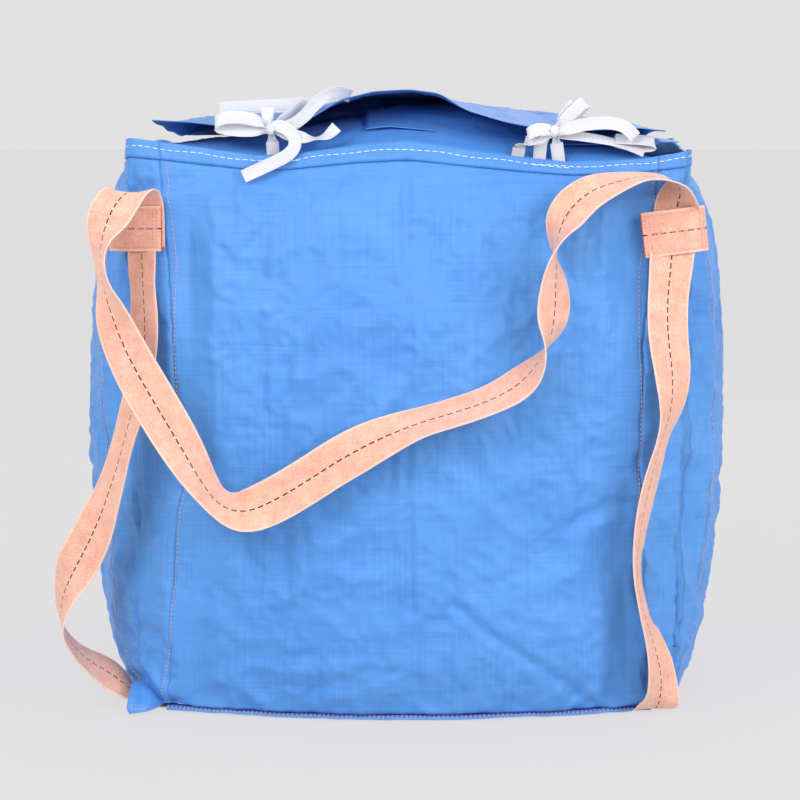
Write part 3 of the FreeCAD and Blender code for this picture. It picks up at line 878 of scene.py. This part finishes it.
# How far out the cloth may stand behind the sewn webbing beside each corner, at each height
behindStraps = [(0.03, 0.440), (0.08, 0.456), (0.13, 0.466), (0.18, 0.476), (0.23, 0.483), (0.30, 0.490),
                (0.50, 0.492), (0.60, 0.486), (0.645, 0.476), (0.69, 0.462), (0.73, 0.4545), (0.86, 0.4545),
                (0.90, 0.470)]


def heldBack(co, side):
    # keeps a vertex of the front or rear wall inside the straps that cross it
    if side % 2 or abs(co.x) < 0.30:
        return co
    away = abs(co.y) - between(behindStraps, co.z)
    share = min((abs(co.x) - 0.30) / 0.04, 1.0)
    if away > 0:
        co.y -= math.copysign(away * share, co.y)
    return co


def makeShell():
    shell = addObject("bagShell", shellMesh(), cloth)
    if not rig.quick():
        data = shell.data
        side = [d.value for d in data.attributes["side"].data]
        along = [d.value for d in data.attributes["along"].data]
        height = [d.value for d in data.attributes["height"].data]
        pins = []
        for i in range(len(data.vertices)):
            fixed = side[i] == 4 or height[i] < 0.012 or height[i] > bag["hem"] - 0.02
            seam = abs(abs(along[i]) - bag["seamShare"]) < 0.012
            pins.append((i, 1.0 if fixed else 0.75 if seam else 0.0))
        simulate(shell, pins)
        print("cloth simulated")
    bm = bmesh.new()
    bm.from_mesh(shell.data)
    bpy.data.objects.remove(shell)
    cuts = 1 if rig.quick() else bag["fineCuts"]
    bmesh.ops.subdivide_edges(bm, edges=bm.edges[:], cuts=cuts, use_grid_fill=True, smooth=0.0)
    bmesh.ops.smooth_vert(bm, verts=bm.verts[:], factor=0.5, use_axis_x=True, use_axis_y=True, use_axis_z=True)
    return bm


def finishShell(bm):
    sideOf = bm.verts.layers.int["side"]
    alongOf = bm.verts.layers.float["along"]
    bm.normal_update()
    moves = []
    for vert in bm.verts:
        if vert[sideOf] == 4 and max(abs(vert.co.x), abs(vert.co.y)) < 0.4:
            moves.append(Vector((0, 0, 0.0)))
            continue
        side = vert[sideOf] % 4
        flat = turned(vert.co, (4 - side) % 4)
        out = Vector((vert.normal.x, vert.normal.y, 0.3 * vert.normal.z))
        ridge = 0.0034 * math.exp(-((abs(vert[alongOf]) - 0.885) / 0.012) ** 2) if vert.co.z < 0.87 else 0.0
        move = out * (wrinkle(side, flat.x, vert.co, vert.co.z) + ridge)
        move.z += rimShift(vert.co, vert.co.z)
        moves.append(move)
    for vert, move in zip(bm.verts, moves):
        vert.co = heldBack(vert.co + move, vert[sideOf])
        vert.co.z = max(vert.co.z, bag["floor"])
    return bm


def panelOf(t, height, side):
    # Name of the sewn piece that a place on the shell belongs to.
    if side == 4:
        return "base"
    band = "hem" if height > bag["hem"] else "panel"
    if abs(t) <= bag["seamShare"]:
        return f"{band}_{('front', 'right', 'rear', 'left')[side]}"
    if band == "hem":
        return "hem_corners"
    corner = side if t > 0 else (side + 3) % 4
    return f"corner_{('front_right', 'rear_right', 'rear_left', 'front_left')[corner]}"


# CAD nodes whose names differ from the panels'
clothNodes = {"panel_front": "front_panel", "panel_rear": "back_panel", "panel_left": "left_panel",
              "panel_right": "right_panel", "base": "base_panel"}


def splitShell(bm):
    # Cuts the shell along its seams into the pieces it is sewn from, each with a UV map in metres.
    sideOf = bm.verts.layers.int["side"]
    alongOf = bm.verts.layers.float["along"]
    heightOf = bm.verts.layers.float["height"]
    uvLayer = bm.loops.layers.uv.new("UVMap")
    groups = {}
    for face in bm.faces:
        normal = face.normal
        middle = face.calc_center_median()
        if abs(normal.z) > 0.9 and middle.z < 0.03:
            side, name = 4, "base"
        else:
            if abs(middle.y) > abs(middle.x):
                side = 0 if middle.y < 0 else 2
            else:
                side = 1 if middle.x > 0 else 3
            corners = []
            for vert in face.verts:
                flat = turned(vert.co, (4 - side) % 4)
                corners.append(vert[alongOf] if vert[sideOf] == side else math.copysign(1.0, flat.x))
            t = sum(corners) / len(corners)
            height = sum(vert[heightOf] for vert in face.verts) / len(face.verts)
            name = panelOf(t, height, side)
        groups.setdefault(name, []).append(face.index)
        for loop in face.loops:
            vert = loop.vert
            co = vert.co if side == 4 else turned(vert.co, (4 - side) % 4)
            u = co.x
            if side != 4:
                u = 0.47 * (vert[alongOf] if vert[sideOf] == side else math.copysign(1.0, co.x))
            loop[uvLayer].uv = (u + 1.0, (co.y if side == 4 else co.z) + 1.0)
    whole = bpy.data.meshes.new("whole")
    bm.to_mesh(whole)
    bm.free()
    for name, indices in groups.items():
        keep = set(indices)
        part = bmesh.new()
        part.from_mesh(whole)
        spare = [f for f in part.faces if f.index not in keep]
        bmesh.ops.delete(part, geom=spare, context="FACES")
        label = name if name.startswith("hem") else name.replace("corner_", "corner_strip_")
        obj = addObject("cloth_" + label, part, cloth)
        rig.ride(obj, "root")
        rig.replaces(obj, clothNodes.get(name, label))
        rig.slot(obj, "cloth")
        if name.startswith("hem"):
            thicken(obj, bag["hemThickness"], 0.6)
        else:
            thicken(obj, bag["panelThickness"], -1.0)
        area = sum(p.area for p in obj.data.polygons)
        spans = [[v.co[axis] for v in obj.data.vertices] for axis in (0, 1)]
        wide = max(max(span) - min(span) for span in spans)
        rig.sheet(obj, flat=(round(wide, 3), round(area / wide, 3)), held="stretched")
    bpy.data.meshes.remove(whole)
    print("bag cloth made:", len(groups))


shellMade = finishShell(makeShell())
shellTree = BVHTree.FromBMesh(shellMade)
splitShell(shellMade)

# Flaps

cover = {"columns": 130, "rows": 120, "half": 0.405, "fold": 0.428, "foldHeight": 0.904, "reach": 0.870,
         "crown": 0.043, "thickness": 0.0011}
coverEdge = [(-1.0, 0.032), (-0.86, 0.030), (-0.70, 0.022), (-0.53, 0.014), (-0.40, 0.030), (-0.27, 0.062),
             (-0.14, 0.075), (0.0, 0.078), (0.12, 0.072), (0.22, 0.046), (0.38, 0.026), (0.55, 0.012),
             (0.72, 0.016), (0.88, 0.022), (1.0, 0.018)]


def coverPoint(u, v):
    # v runs from the fold at the back rim to the front edge.
    share = 2 * u - 1
    reach = 0.02
    rise = sum(between(coverEdge, share + step) for step in (-reach, 0, reach)) / 3
    x = share * cover["half"] * (1 - 0.02 * v)
    y = cover["fold"] - cover["reach"] * v * (1 - 0.012 * math.cos(share * 9) * v)
    height = cover["foldHeight"] + rise * v ** 2.2 + cover["crown"] * math.sin(math.pi * v) * (1 - share ** 4)
    p = Vector((x, y, 0.0))
    height += 0.005 * noise.noise(Vector((x * 6, y * 6, 5.0))) * min(4 * v, 1.0)
    calm = min(6 * (1 - abs(share)), 8 * (1 - v), 4 * v, 1.0)
    height += 0.0028 * (ridges(p, 12.0, 23.0) - 0.5) * calm + 0.0011 * (ridges(p, 40.0, 31.0) - 0.5) * calm
    return Vector((x, y, height))


def flapPiece(name, nodeName, body, place, size, columns=90, rows=60):
    obj = clothGrid(name, columns, rows, place, size, cloth)
    thicken(obj, cover["thickness"], 1.0)
    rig.ride(obj, body)
    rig.replaces(obj, nodeName)
    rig.slot(obj, "cloth")
    area = sum(p.area for p in obj.data.polygons)
    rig.sheet(obj, flat=(size[0], round(area / size[0], 3)), held="folded")
    return obj


coverPiece = flapPiece("coverFlap", "cover_flap", "cover", coverPoint, (0.81, 0.89),
                       cover["columns"], cover["rows"])
# The cover wears the darker copy of the cloth: painted shade on its top.
coverPiece.data.materials[0] = paintedShadeLidCloth

innerFlap = {"half": 0.378, "reach": 0.35, "span": 0.425}
underArch = [(-0.42, 0.0), (-0.361, 0.013), (-0.254, 0.021), (-0.164, 0.032), (-0.04, 0.059), (0.09, 0.057),
             (0.16, 0.040), (0.25, 0.024), (0.36, 0.011), (0.42, 0.0)]
frontFold = (-0.424, 0.892)
sideFold = (-0.422, 0.886)
overFold = {"x": (0.422, -0.068), "near": -0.400, "far": (0.376, -0.114), "height": 0.8965}
# height of the right flap's free front edge above its fold, along x
overEdge = [(-0.09, 0.012), (-0.03, 0.017), (0.038, 0.011), (0.076, -0.001), (0.17, -0.008), (0.42, -0.004)]


def innerBulge(x, y):
    # the folded flaps are pushed up by what is under them, most of all below the cover's arch
    if y < 0:
        along = max(1 - (abs(y) / innerFlap["span"]) ** 6, 0.0)
    else:
        along = max(1 - (y / innerFlap["span"]) ** 1.5, 0.0)
    return along * sum(between(underArch, x + step) for step in (-0.03, 0, 0.03)) / 3


def flapCrease(x, y, seed):
    p = Vector((x, y, seed))
    return 0.0035 * (ridges(p, 9.0, seed) - 0.5) + 0.0012 * (ridges(p, 34.0, seed) - 0.5)


def trapezium(fold, quarter):
    def place(u, v):
        half = innerFlap["half"] - innerFlap["reach"] * v
        co = turned(Vector(((2 * u - 1) * half, fold[0] + innerFlap["reach"] * v, fold[1])), quarter)
        calm = min(5 * v, 5 * (1 - v), 5 * u, 5 * (1 - u), 0.8)
        co.z += innerBulge(co.x, co.y) + flapCrease(co.x, co.y, 3.0 + quarter) * calm
        if quarter == 0:
            co.y -= 0.014 * (1 - v) ** 8
            co.z += (between(rimDrop, co.x) + 0.004) * (1 - v) ** 8
        return co
    return place


def overPoint(u, v):
    x = overFold["x"][0] + (overFold["x"][1] - overFold["x"][0]) * v
    far = overFold["far"][0] + (overFold["far"][1] - overFold["far"][0]) * v
    y = overFold["near"] + (far - overFold["near"]) * u
    y += 0.006 * smoothNoise(x * 12, 5.0, 2.0) * (1 - u)
    edge = math.exp(-((y - overFold["near"]) / 0.045) ** 2)
    height = overFold["height"] + 0.003 + innerBulge(x, y) * (1 - 0.6 * edge)
    height += between(overEdge, x) * edge * min(4 * v, 1.0)
    height += (flapCrease(x, y, 9.0) + 0.002) * min(5 * v, 5 * (1 - v), 6 * u, 6 * (1 - u), 1.0)
    return Vector((x, y, height))


flapPiece("frontFlap", "front_flap", "front_fold", trapezium(frontFold, 0), (0.756, 0.35))
flapPiece("leftFlap", "left_flap", "left_fold", trapezium(sideFold, 3), (0.756, 0.35))
flapPiece("rightFlap", "right_flap", "right_fold", overPoint, (0.776, 0.49))
print("flaps made")

# Tape ties

tie = {"width": 0.02, "thickness": 0.0009, "cup": 0.0010, "wave": 0.0016, "knot": 0.0095, "wrap": 0.0115}
# Each tape: points from its bow's knot in mm, with the direction across it. Rim tapes are sewn inside the rim.
leftKnot = Vector((-0.213, -0.449, 0.921))
rightKnot = Vector((0.224, -0.449, 0.917))
leftRimTape = [(3, 9, -58, 1, 0, 0), (3, 9, -36, 1, 0, 0), (2, 4, -20, 1, 0, 0)]
leftBowTape = [
    (2, 4, -20, 1, 0, 0), (1, -2, -9, 1, 0, 0), (-2, -5, 3, 0.3, 0.3, 1), (-20, -8, 13, 0, 0.3, 1),
    (-45, -10, 18, 0, 0.2, 1), (-68, -11, 18, 0.1, 0.2, 1), (-84, -10, 13, 0, 0.3, 1),
    (-87, -3, 6, 0, 0.3, 1), (-78, 3, 1, 0, 0.3, 1), (-52, 3, -3, 0, 0.3, 1), (-24, 0, -3, 0, 0.3, 1),
    (-3, -2, -2, 0, 0.3, 1), (14, -3, -5, 0, 0.3, 1), (30, -6, -9, 0, 0.2, 1), (45, -8, -13, 0, 0.2, 1),
    (58, -9, -16, 0, 0.8, 0.6), (70, -9, -16, 0, 1, 0.1), (84, -9, -13, 0, 0.8, 0.5),
    (94, -9, -6, 0.3, 0.2, 0.9), (102, -10, 3, 0.5, 0, 0.85),
]
leftCoverTape = [
    (122, 44, 50, 0.3, 0.8, -0.4), (110, 20, 55, 0.4, 0.7, -0.4), (97, 4, 56, 0.5, 0.6, -0.5),
    (82, -4, 50, 0.7, 0.4, -0.6), (66, -7, 36, 0.8, 0.3, -0.5), (50, -8, 17, 0.8, 0.3, -0.5),
    (28, -8, 3, 0.5, 0.3, -0.8), (2, -7, 0, 0.1, 0.3, -1), (-5, -8, 2, 0, 0.2, -1), (4, -12, 6, 0, 0.1, 1),
    (18, -12, 4, 0, 0.2, 1), (31, -13, -4, 0.5, 0.1, 0.85), (38, -13, -16, 0.9, 0.2, 0.3),
    (37, -15, -29, 1, 0.2, -0.2), (26, -17, -41, 0.7, 0.1, -0.6), (4, -18, -52, 0.5, 0, -0.85),
    (-18, -19, -62, 0.5, 0, -0.85), (-42, -20, -73, 0.5, 0, -0.85),
]
leftEarTape = [
    (-5, -6, 33, 1, 0.1, 0), (-5, -7, 22, 1, 0, 0), (-3, -8, 10, 1, 0, 0), (1, -7, 2, 1, 0.2, 0),
    (16, 2, 12, 0.3, 0.5, -0.6), (40, 14, 28, 0.3, 0.5, -0.6), (58, 40, 40, 0.5, 0.6, -0.4),
    (66, 90, 42, 0.9, 0.2, 0.3), (60, 150, 42, 0.6, 0.3, 0.7), (38, 190, 40, 0, 0.4, 0.9),
    (-10, 202, 38, 0, 0.4, 0.9), (-52, 202, 35, 0, 0.4, 0.9), (-92, 198, 33, 0, 0.3, 0.9),
]
rightRimTape = [(9, 9, -55, 1, 0, 0), (7, 8, -34, 1, 0, 0), (4, 3, -18, 1, 0, 0)]
rightBowTape = [
    (4, 3, -18, 1, 0, 0), (2, -2, -8, 1, 0, 0), (1, -5, 1, 0.8, 0.2, -0.4), (12, -7, 13, 0.7, 0.2, -0.6),
    (28, -9, 29, 0.7, 0.1, -0.7), (42, -9, 42, 0.75, 0.1, -0.65), (49, -4, 46, 0.75, 0.2, -0.65),
    (44, 2, 38, 0.75, 0.2, -0.65), (28, 3, 22, 0.7, 0.2, -0.7), (10, 1, 6, 0.5, 0.3, -0.7),
    (-2, -3, -2, 0, 0.3, -1), (2, -8, -3, 0, 0.3, 1), (20, -8, 4, 0, 0.2, 1), (46, -9, 11, 0, 0.1, 1),
    (76, -9, 14, 0, 0.1, 1), (102, -8, 11, 0.1, 0.1, 1), (117, -6, 1, 0.5, 0.1, 0.85),
    (125, -3, -9, 0.6, 0.1, 0.8),
]
rightLowTape = [(-22, 9, -52, 1, 0, 0), (-22, 9, -34, 1, 0, 0), (-20, 2, -18, 1, 0, 0)]
rightSideTape = [
    (-20, 2, -18, 1, 0, 0), (-14, -6, -9, 0.9, 0.2, 0.3), (-2, -7, -1, 0.3, 0.3, 0.9),
    (-14, -12, 4, 0, 0.3, 1), (-30, -14, 3, 0, 0.3, 1), (-42, -12, -4, 0, 0.3, 1), (-40, -5, -11, 0, 0.3, 1),
    (-24, -3, -12, 0, 0.3, 1), (-8, -3, -6, 0.1, 0.3, 1), (0, -4, 0, 0.6, 0.3, -0.6),
    (8, -3, 12, 0.7, 0.3, -0.6), (18, -3, 26, 0.75, 0.2, -0.6), (30, -4, 40, 0.75, 0.2, -0.6),
    (36, 0, 44, 0.75, 0.3, -0.6), (30, 5, 36, 0.75, 0.3, -0.6), (14, 5, 16, 0.7, 0.3, -0.6),
    (2, 3, 3, 0.7, 0.3, -0.6),
]
rightArchTape = [(-57, 9, -52, 1, 0, 0), (-56, 9, -36, 1, 0, 0), (-53, 3, -26, 0.9, 0, 0.2)]
rightUnderTape = [
    (-53, 3, -26, 0.9, 0, 0.2), (-46, -2, -17, 0.7, 0.2, 0.6), (-32, -4, -12, 0.2, 0.4, 0.9),
    (-10, 2, -5, 0, 0.5, 0.8), (24, 7, -7, 0, 0.8, 0.6), (56, 8, -10, 0, 0.7, 0.7),
    (90, 9, -16, 0.1, 0.8, 0.6), (120, 9, -25, 0.2, 0.8, 0.6), (140, 8, -34, 0.3, 0.8, 0.6),
]
rightSpareTape = [
    (96, 12, -12, 0.1, 0.6, 0.8), (122, 12, -13, 0, 0.6, 0.8), (148, 11, -15, 0, 0.6, 0.8),
    (160, 14, -19, 0, 0.6, 0.8), (150, 18, -24, 0, 0.6, 0.8), (124, 19, -22, 0, 0.6, 0.8),
    (102, 20, -18, 0, 0.6, 0.8), (94, 24, -16, 0, 0.6, 0.8), (108, 27, -17, 0, 0.6, 0.8),
    (132, 28, -18, 0, 0.6, 0.8), (152, 29, -21, 0, 0.6, 0.8),
]


def tapeStrap(knot, rows):
    return Strap([(*(knot + Vector(row[:3]) / 1000), *row[3:]) for row in rows])


def tapePiece(name, knot, rows, body, replaced=None):
    strap = tapeStrap(knot, rows)
    near = [r for r, co in zip(strap.run, strap.line) if (co - knot).length < 0.009]
    piece = ribbon(name, strap, tie["width"], tie["thickness"], tape, cup=tie["cup"], wave=tie["wave"],
                   pinch=near)
    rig.ride(piece, body)
    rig.slot(piece, "tape")
    if replaced:
        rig.replaces(piece, replaced)
    return piece, strap


def knotPiece(side, knot):
    # three turns of the tape drawn tight round each other
    made = []
    for number, (lean, tilt, size) in enumerate(((20, 0, 1.0), (-35, 30, 0.88), (75, -20, 0.8))):
        lay = Matrix.Rotation(math.radians(tilt), 3, "Z") @ Matrix.Rotation(math.radians(lean), 3, "Y")
        reach = tie["knot"] * size
        rows = []
        for step in range(11):
            turn = math.radians(step * 38)
            co = lay @ Vector((0, math.cos(turn) * reach * 0.75, math.sin(turn) * reach))
            rows.append((*(knot + co + Vector((0, -0.006, 0))), *(lay @ Vector((1, 0, 0)))))
        piece = ribbon(f"bowKnot_{side}_{number}", Strap(rows), tie["wrap"], tie["thickness"] * 1.6, tape,
                       cup=-0.0016)
        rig.ride(piece, "cover")
        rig.slot(piece, "tape")
        made.append(piece)
    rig.replaces(made[0], "tie_knot_" + side)
    return made


# Each bow's tapes: name, points, the CAD node it stands for, and its end sewn inside the rim
leftTapes = [("Bow", leftBowTape, "tie_loops_left", leftRimTape),
             ("Cover", leftCoverTape, "tie_tail_left", None), ("Ear", leftEarTape, None, None)]
rightTapes = [("Bow", rightBowTape, "tie_loops_right", rightRimTape),
              ("Side", rightSideTape, "tie_tail_right", rightLowTape),
              ("Under", rightUnderTape, None, rightArchTape), ("Spare", rightSpareTape, None, None)]


def addTies():
    for side, knot, tapes in (("left", leftKnot, leftTapes), ("right", rightKnot, rightTapes)):
        wraps = knotPiece(side, knot)
        for name, rows, nodeName, rimRows in tapes:
            piece, strap = tapePiece(f"tieTape_{side}{name}", knot, rows, "cover", nodeName)
            extra = list(wraps) if name == "Bow" else []
            if rimRows:
                anchor = "tie_anchor_" + side if name == "Bow" else None
                extra.append(tapePiece(f"tieRim_{side}{name}", knot, rimRows, "root", anchor)[0])
            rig.cord(piece, exit=tuple(strap.line[0]), length=round(strap.length, 3), diameter=tie["width"],
                    far_end="bare", stiffness="limp", lay="loose", path=strap.line, with_pieces=extra)


addTies()
print("ties made")

# Stitching

seamStitch = {"long": 0.0048, "pitch": 0.0072, "radius": 0.00065}
hemStitch = {"long": 0.0085, "pitch": 0.0118, "radius": 0.0008, "drop": 0.0115, "lift": 0.0026}
patchStitch = {"long": 0.0040, "pitch": 0.0055, "radius": 0.0006, "edge": 0.0285, "end": 0.007}


def sewn(name, rows, mat, look):
    # rows hold (place, outward direction) along each line of stitches
    bm = bmesh.new()
    sides, rings = 5, 5
    for row in rows:
        run = [0.0]
        for a, b in zip(row, row[1:]):
            run.append(run[-1] + (b[0] - a[0]).length)
        distance, low = 0.0, 0
        while distance + look["long"] < run[-1]:
            ends = []
            for at in (distance, distance + look["long"]):
                while low < len(run) - 2 and run[low + 1] < at:
                    low += 1
                share = (at - run[low]) / max(run[low + 1] - run[low], 1e-9)
                (here, outHere), (there, outThere) = row[low], row[low + 1]
                ends.append((here.lerp(there, share), outHere.lerp(outThere, share).normalized()))
            (start, out), (stop, stopOut) = ends
            along = (stop - start).normalized()
            across = along.cross(out)
            previous = None
            for ring in range(rings):
                share = ring / (rings - 1)
                bulge = math.sin(math.pi * share)
                rise = look["radius"] * (1.5 * bulge - 0.5)
                centre = start.lerp(stop, share) + out.lerp(stopOut, share) * rise
                radius = look["radius"] * (0.6 + 0.4 * bulge)
                loop = []
                for side in range(sides):
                    angle = 2 * math.pi * side / sides
                    spoke = across * math.cos(angle) * radius + out * math.sin(angle) * radius
                    loop.append(bm.verts.new(centre + spoke))
                for side in range(sides if previous else 0):
                    after = (side + 1) % sides
                    bm.faces.new((previous[side], previous[after], loop[after], loop[side]))
                previous = loop
            distance += look["pitch"]
            low = max(low - 1, 0)
    bmesh.ops.recalc_face_normals(bm, faces=bm.faces[:])
    obj = addObject(name, bm, mat)
    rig.ride(obj, "root")
    return obj


def onShell(quarter, t, height, lift):
    place = wallPoint(t, height, 3 if quarter % 2 == 0 else 4, bag["tucks"][quarter])
    away = Vector((0.9 * max(abs(t) - 0.7, 0.0) / 0.3 * math.copysign(1, t), -1, 0)).normalized()
    place, away = turned(place, quarter), turned(away, quarter)
    place.z += rimShift(place, place.z)
    hit, normal, index, distance = shellTree.ray_cast(place + away * 0.07, -away, 0.14)
    if hit is None:
        return None
    if normal.dot(away) < 0:
        normal = -normal
    return hit + normal * lift, normal


def shellRow(places, lift=0.0003):
    found = [onShell(*place, lift) for place in places]
    return [place for place in found if place]


def addStitching():
    seams = []
    for quarter in range(4):
        for hand in (-1, 1):
            line = []
            for step in range(146):
                height = 0.016 + step * 0.006
                flare = 0.055 * max(1 - height / 0.13, 0.0)
                sway = 0.008 * math.sin(height * 15 + 2 * quarter + hand)
                line.append((quarter, hand * (0.85 + flare + sway), height))
            seams.append(shellRow(line))
    sewn("seamStitches", seams, pinkThread, seamStitch)
    hems = []
    lift = hemStitch["lift"]
    hemLine = 0.9 - hemStitch["drop"]
    for quarter in range(4):
        hems.append(shellRow([(quarter, -0.99 + i * 0.01, hemLine + 0.0012 * math.sin(i * 0.3 + quarter))
                              for i in range(199)], lift))
    # sewn over twice where the tie tapes are caught in
    for middle, reach in ((-0.42, 0.06), (0.50, 0.07)):
        hems.append(shellRow([(0, middle + (i - 7) / 7 * reach, hemLine - 0.0022) for i in range(15)], lift))
    sewn("hemStitches", hems, whiteThread, hemStitch)
    rows = []
    for (side, hand), strap in patchStraps.items():
        out = -1 if side == "front" else 1
        edge, end = patchStitch["edge"], patchStitch["end"]

        def onPatch(distance, lean):
            centre, run, across, face = strap.at(distance)
            if face.y * out < 0:
                face = -face
            return centre + across * lean + face * (patch["thickness"] / 2 + 0.0003), face

        length = strap.length
        for lean in (-edge, edge, 0.0):
            rows.append([onPatch(end + (length - 2 * end) * i / 20, lean) for i in range(21)])
        for distance in (end, end + 0.006, length - end, length - end - 0.006):
            rows.append([onPatch(distance, edge * (i / 10 - 1)) for i in range(21)])
    sewn("patchStitches", rows, pinkThread, patchStitch)


addStitching()
print("stitching made")

# Base straps and seam flanges


baseStrap = {"reach": 0.509, "thickness": 0.002, "height": 0.0011}


def addBaseStraps():
    reach, half = baseStrap["reach"], sling["width"] / 2
    for name, turn, step in (("lower", 45, 0.0), ("upper", -45, 0.0024)):
        turnBy = math.radians(turn)

        def place(u, v):
            along, across = (2 * v - 1) * reach, (2 * u - 1) * half
            height = baseStrap["height"] + step * min(max((0.075 - abs(along)) / 0.03, 0.0), 1.0)
            return Vector((along * math.cos(turnBy) - across * math.sin(turnBy),
                           along * math.sin(turnBy) + across * math.cos(turnBy), height))

        obj = clothGrid("baseStrap_" + name, 6, 90, place, (sling["width"], 2 * reach), webbing)
        thicken(obj, baseStrap["thickness"], 0.0, 0.0006)
        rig.ride(obj, "root")
        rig.replaces(obj, "base_strap_" + name)
        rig.slot(obj, "webbing")


addBaseStraps()

flange = {"half": 0.385, "end": 0.428, "lip": 0.010, "depth": 0.024, "thickness": 0.0032}


def addFlanges():
    rows = []
    for quarter, name in enumerate(("front", "right", "rear", "left")):
        middle = (0.492 if quarter % 2 == 0 else 0.476) + flange["lip"] - bag["tucks"][quarter]

        def place(u, v, quarter=quarter, middle=middle):
            x = (2 * u - 1) * flange["half"]
            curl = 0.003 * smoothNoise(x * 9, quarter, 4.0) + 0.0015 * smoothNoise(x * 40, quarter, 8.0)
            bow = middle - (middle - flange["end"]) * (2 * u - 1) ** 2
            out = bow - flange["depth"] * (1 - v) + curl * v
            height = 0.0034 + 0.0045 * (1 - v) ** 2 + (0.0030 + 2 * curl) * v * 0.5
            return turned(Vector((x, -out, max(height, 0.0022))), quarter)

        obj = clothGrid("baseFlange_" + name, 110, 6, place, (0.67, 0.026), cloth)
        thicken(obj, flange["thickness"], 0.0, 0.0008)
        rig.ride(obj, "root")
        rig.replaces(obj, f"base_flange_{name}")
        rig.slot(obj, "cloth")
        for v in (0.55, 0.86):
            rows.append([(place(i / 80, v) + Vector((0, 0, 0.0019)), Vector((0, 0, 1))) for i in range(81)])
    sewn("flangeStitches", rows, pinkThread, seamStitch)


addFlanges()

# Turned-out corner of the base cloth, folded and sewn flat

ear = {"left": -0.446, "right": -0.388, "top": 0.044, "low": 0.0035, "front": -0.460, "back": -0.400,
       "thickness": 0.0026}


def earPoint(u, v):
    left = ear["left"] + 0.005 * v + 0.006 * max(0.0, 1 - v / 0.3) ** 2
    right = ear["right"] - 0.010 * v
    x = left + (right - left) * u
    z = ear["low"] + (ear["top"] - ear["low"]) * v + 0.006 * (1 - v) * u
    dent = 0.010 * math.exp(-(((u - 0.42) / 0.16) ** 2 + ((v - 0.55) / 0.2) ** 2))
    crease = 0.0012 * smoothNoise(u * 3, v * 4, 2.0)
    inward = min(1.0, v ** 2.5 + u ** 4)
    y = ear["front"] + (ear["back"] - ear["front"]) * inward + dent + crease
    return Vector((x, y, z))


def addEars():
    rows = []
    for side, way in (("front", 1), ("rear", -1)):
        def place(u, v, way=way):
            p = earPoint(u, v)
            return Vector((p.x, p.y * way, p.z))

        obj = clothGrid("cornerEar_" + side, 26, 20, place, (0.056, 0.046), cloth)
        thicken(obj, ear["thickness"], 0.0, 0.0006)
        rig.ride(obj, "root")
        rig.slot(obj, "cloth")
        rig.sheet(obj, flat=(0.062, 0.052), held="folded")
        lift = Vector((0, -0.0016 * way, 0))
        hem = [(0.13, 0.75 - 0.6 * i / 14) for i in range(14)]
        hem += [(0.13 + 0.5 * i / 18, 0.15) for i in range(19)]
        rows.append([(place(u, v) + lift, Vector((0, -way, 0))) for u, v in hem])
    sewn("earStitches", rows, pinkThread, seamStitch)


addEars()

# Floor and light

studio = {"pale": rgb(227, 225, 226), "base": (0.10, 0.10, 0.10, 1.0), "glow": 0.86}
# name, place, size, watts
lamps = [("key", (-2.2, -4.0, 3.0), 2.0, 101.0), ("fill", (3.2, -3.6, 2.2), 2.2, 94.0),
         ("top", (0.4, 0.6, 4.0), 2.5, 15.0), ("back", (1.5, 4.0, 3.0), 2.5, 25.0)]


def addStudio():
    bm = bmesh.new()
    bmesh.ops.create_grid(bm, x_segments=2, y_segments=2, size=60.0)
    mat, tree, shader = newMaterial("floor")
    shader.inputs["Base Color"].default_value = studio["base"]
    shader.inputs["Emission Color"].default_value = studio["pale"]
    shader.inputs["Emission Strength"].default_value = studio["glow"]
    shader.inputs["Specular IOR Level"].default_value = 0.0
    shader.inputs["Roughness"].default_value = 1.0
    floor = addObject("floor", bm, mat, smooth=False)
    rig.stage(floor)
    world = bpy.data.worlds.new("studio")
    world.use_nodes = True
    world.node_tree.nodes["Background"].inputs[0].default_value = studio["pale"]
    world.node_tree.nodes["Background"].inputs[1].default_value = 1.0
    bpy.context.scene.world = world
    for name, place, size, power in lamps:
        data = bpy.data.lights.new(name, "AREA")
        data.size = size
        data.energy = power
        lamp = bpy.data.objects.new(name, data)
        lamp.location = place
        aim = Vector((0, 0, 0.45)) - Vector(place)
        lamp.rotation_euler = aim.to_track_quat("-Z", "Y").to_euler()
        bpy.context.scene.collection.objects.link(lamp)


addStudio()
bpy.context.scene.view_settings.view_transform = "Standard"

with open("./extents.json", "w") as out:
    json.dump({"cad": [list(corner) for corner in cadBox], "visual": [list(corner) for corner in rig.bounds()]}, out)
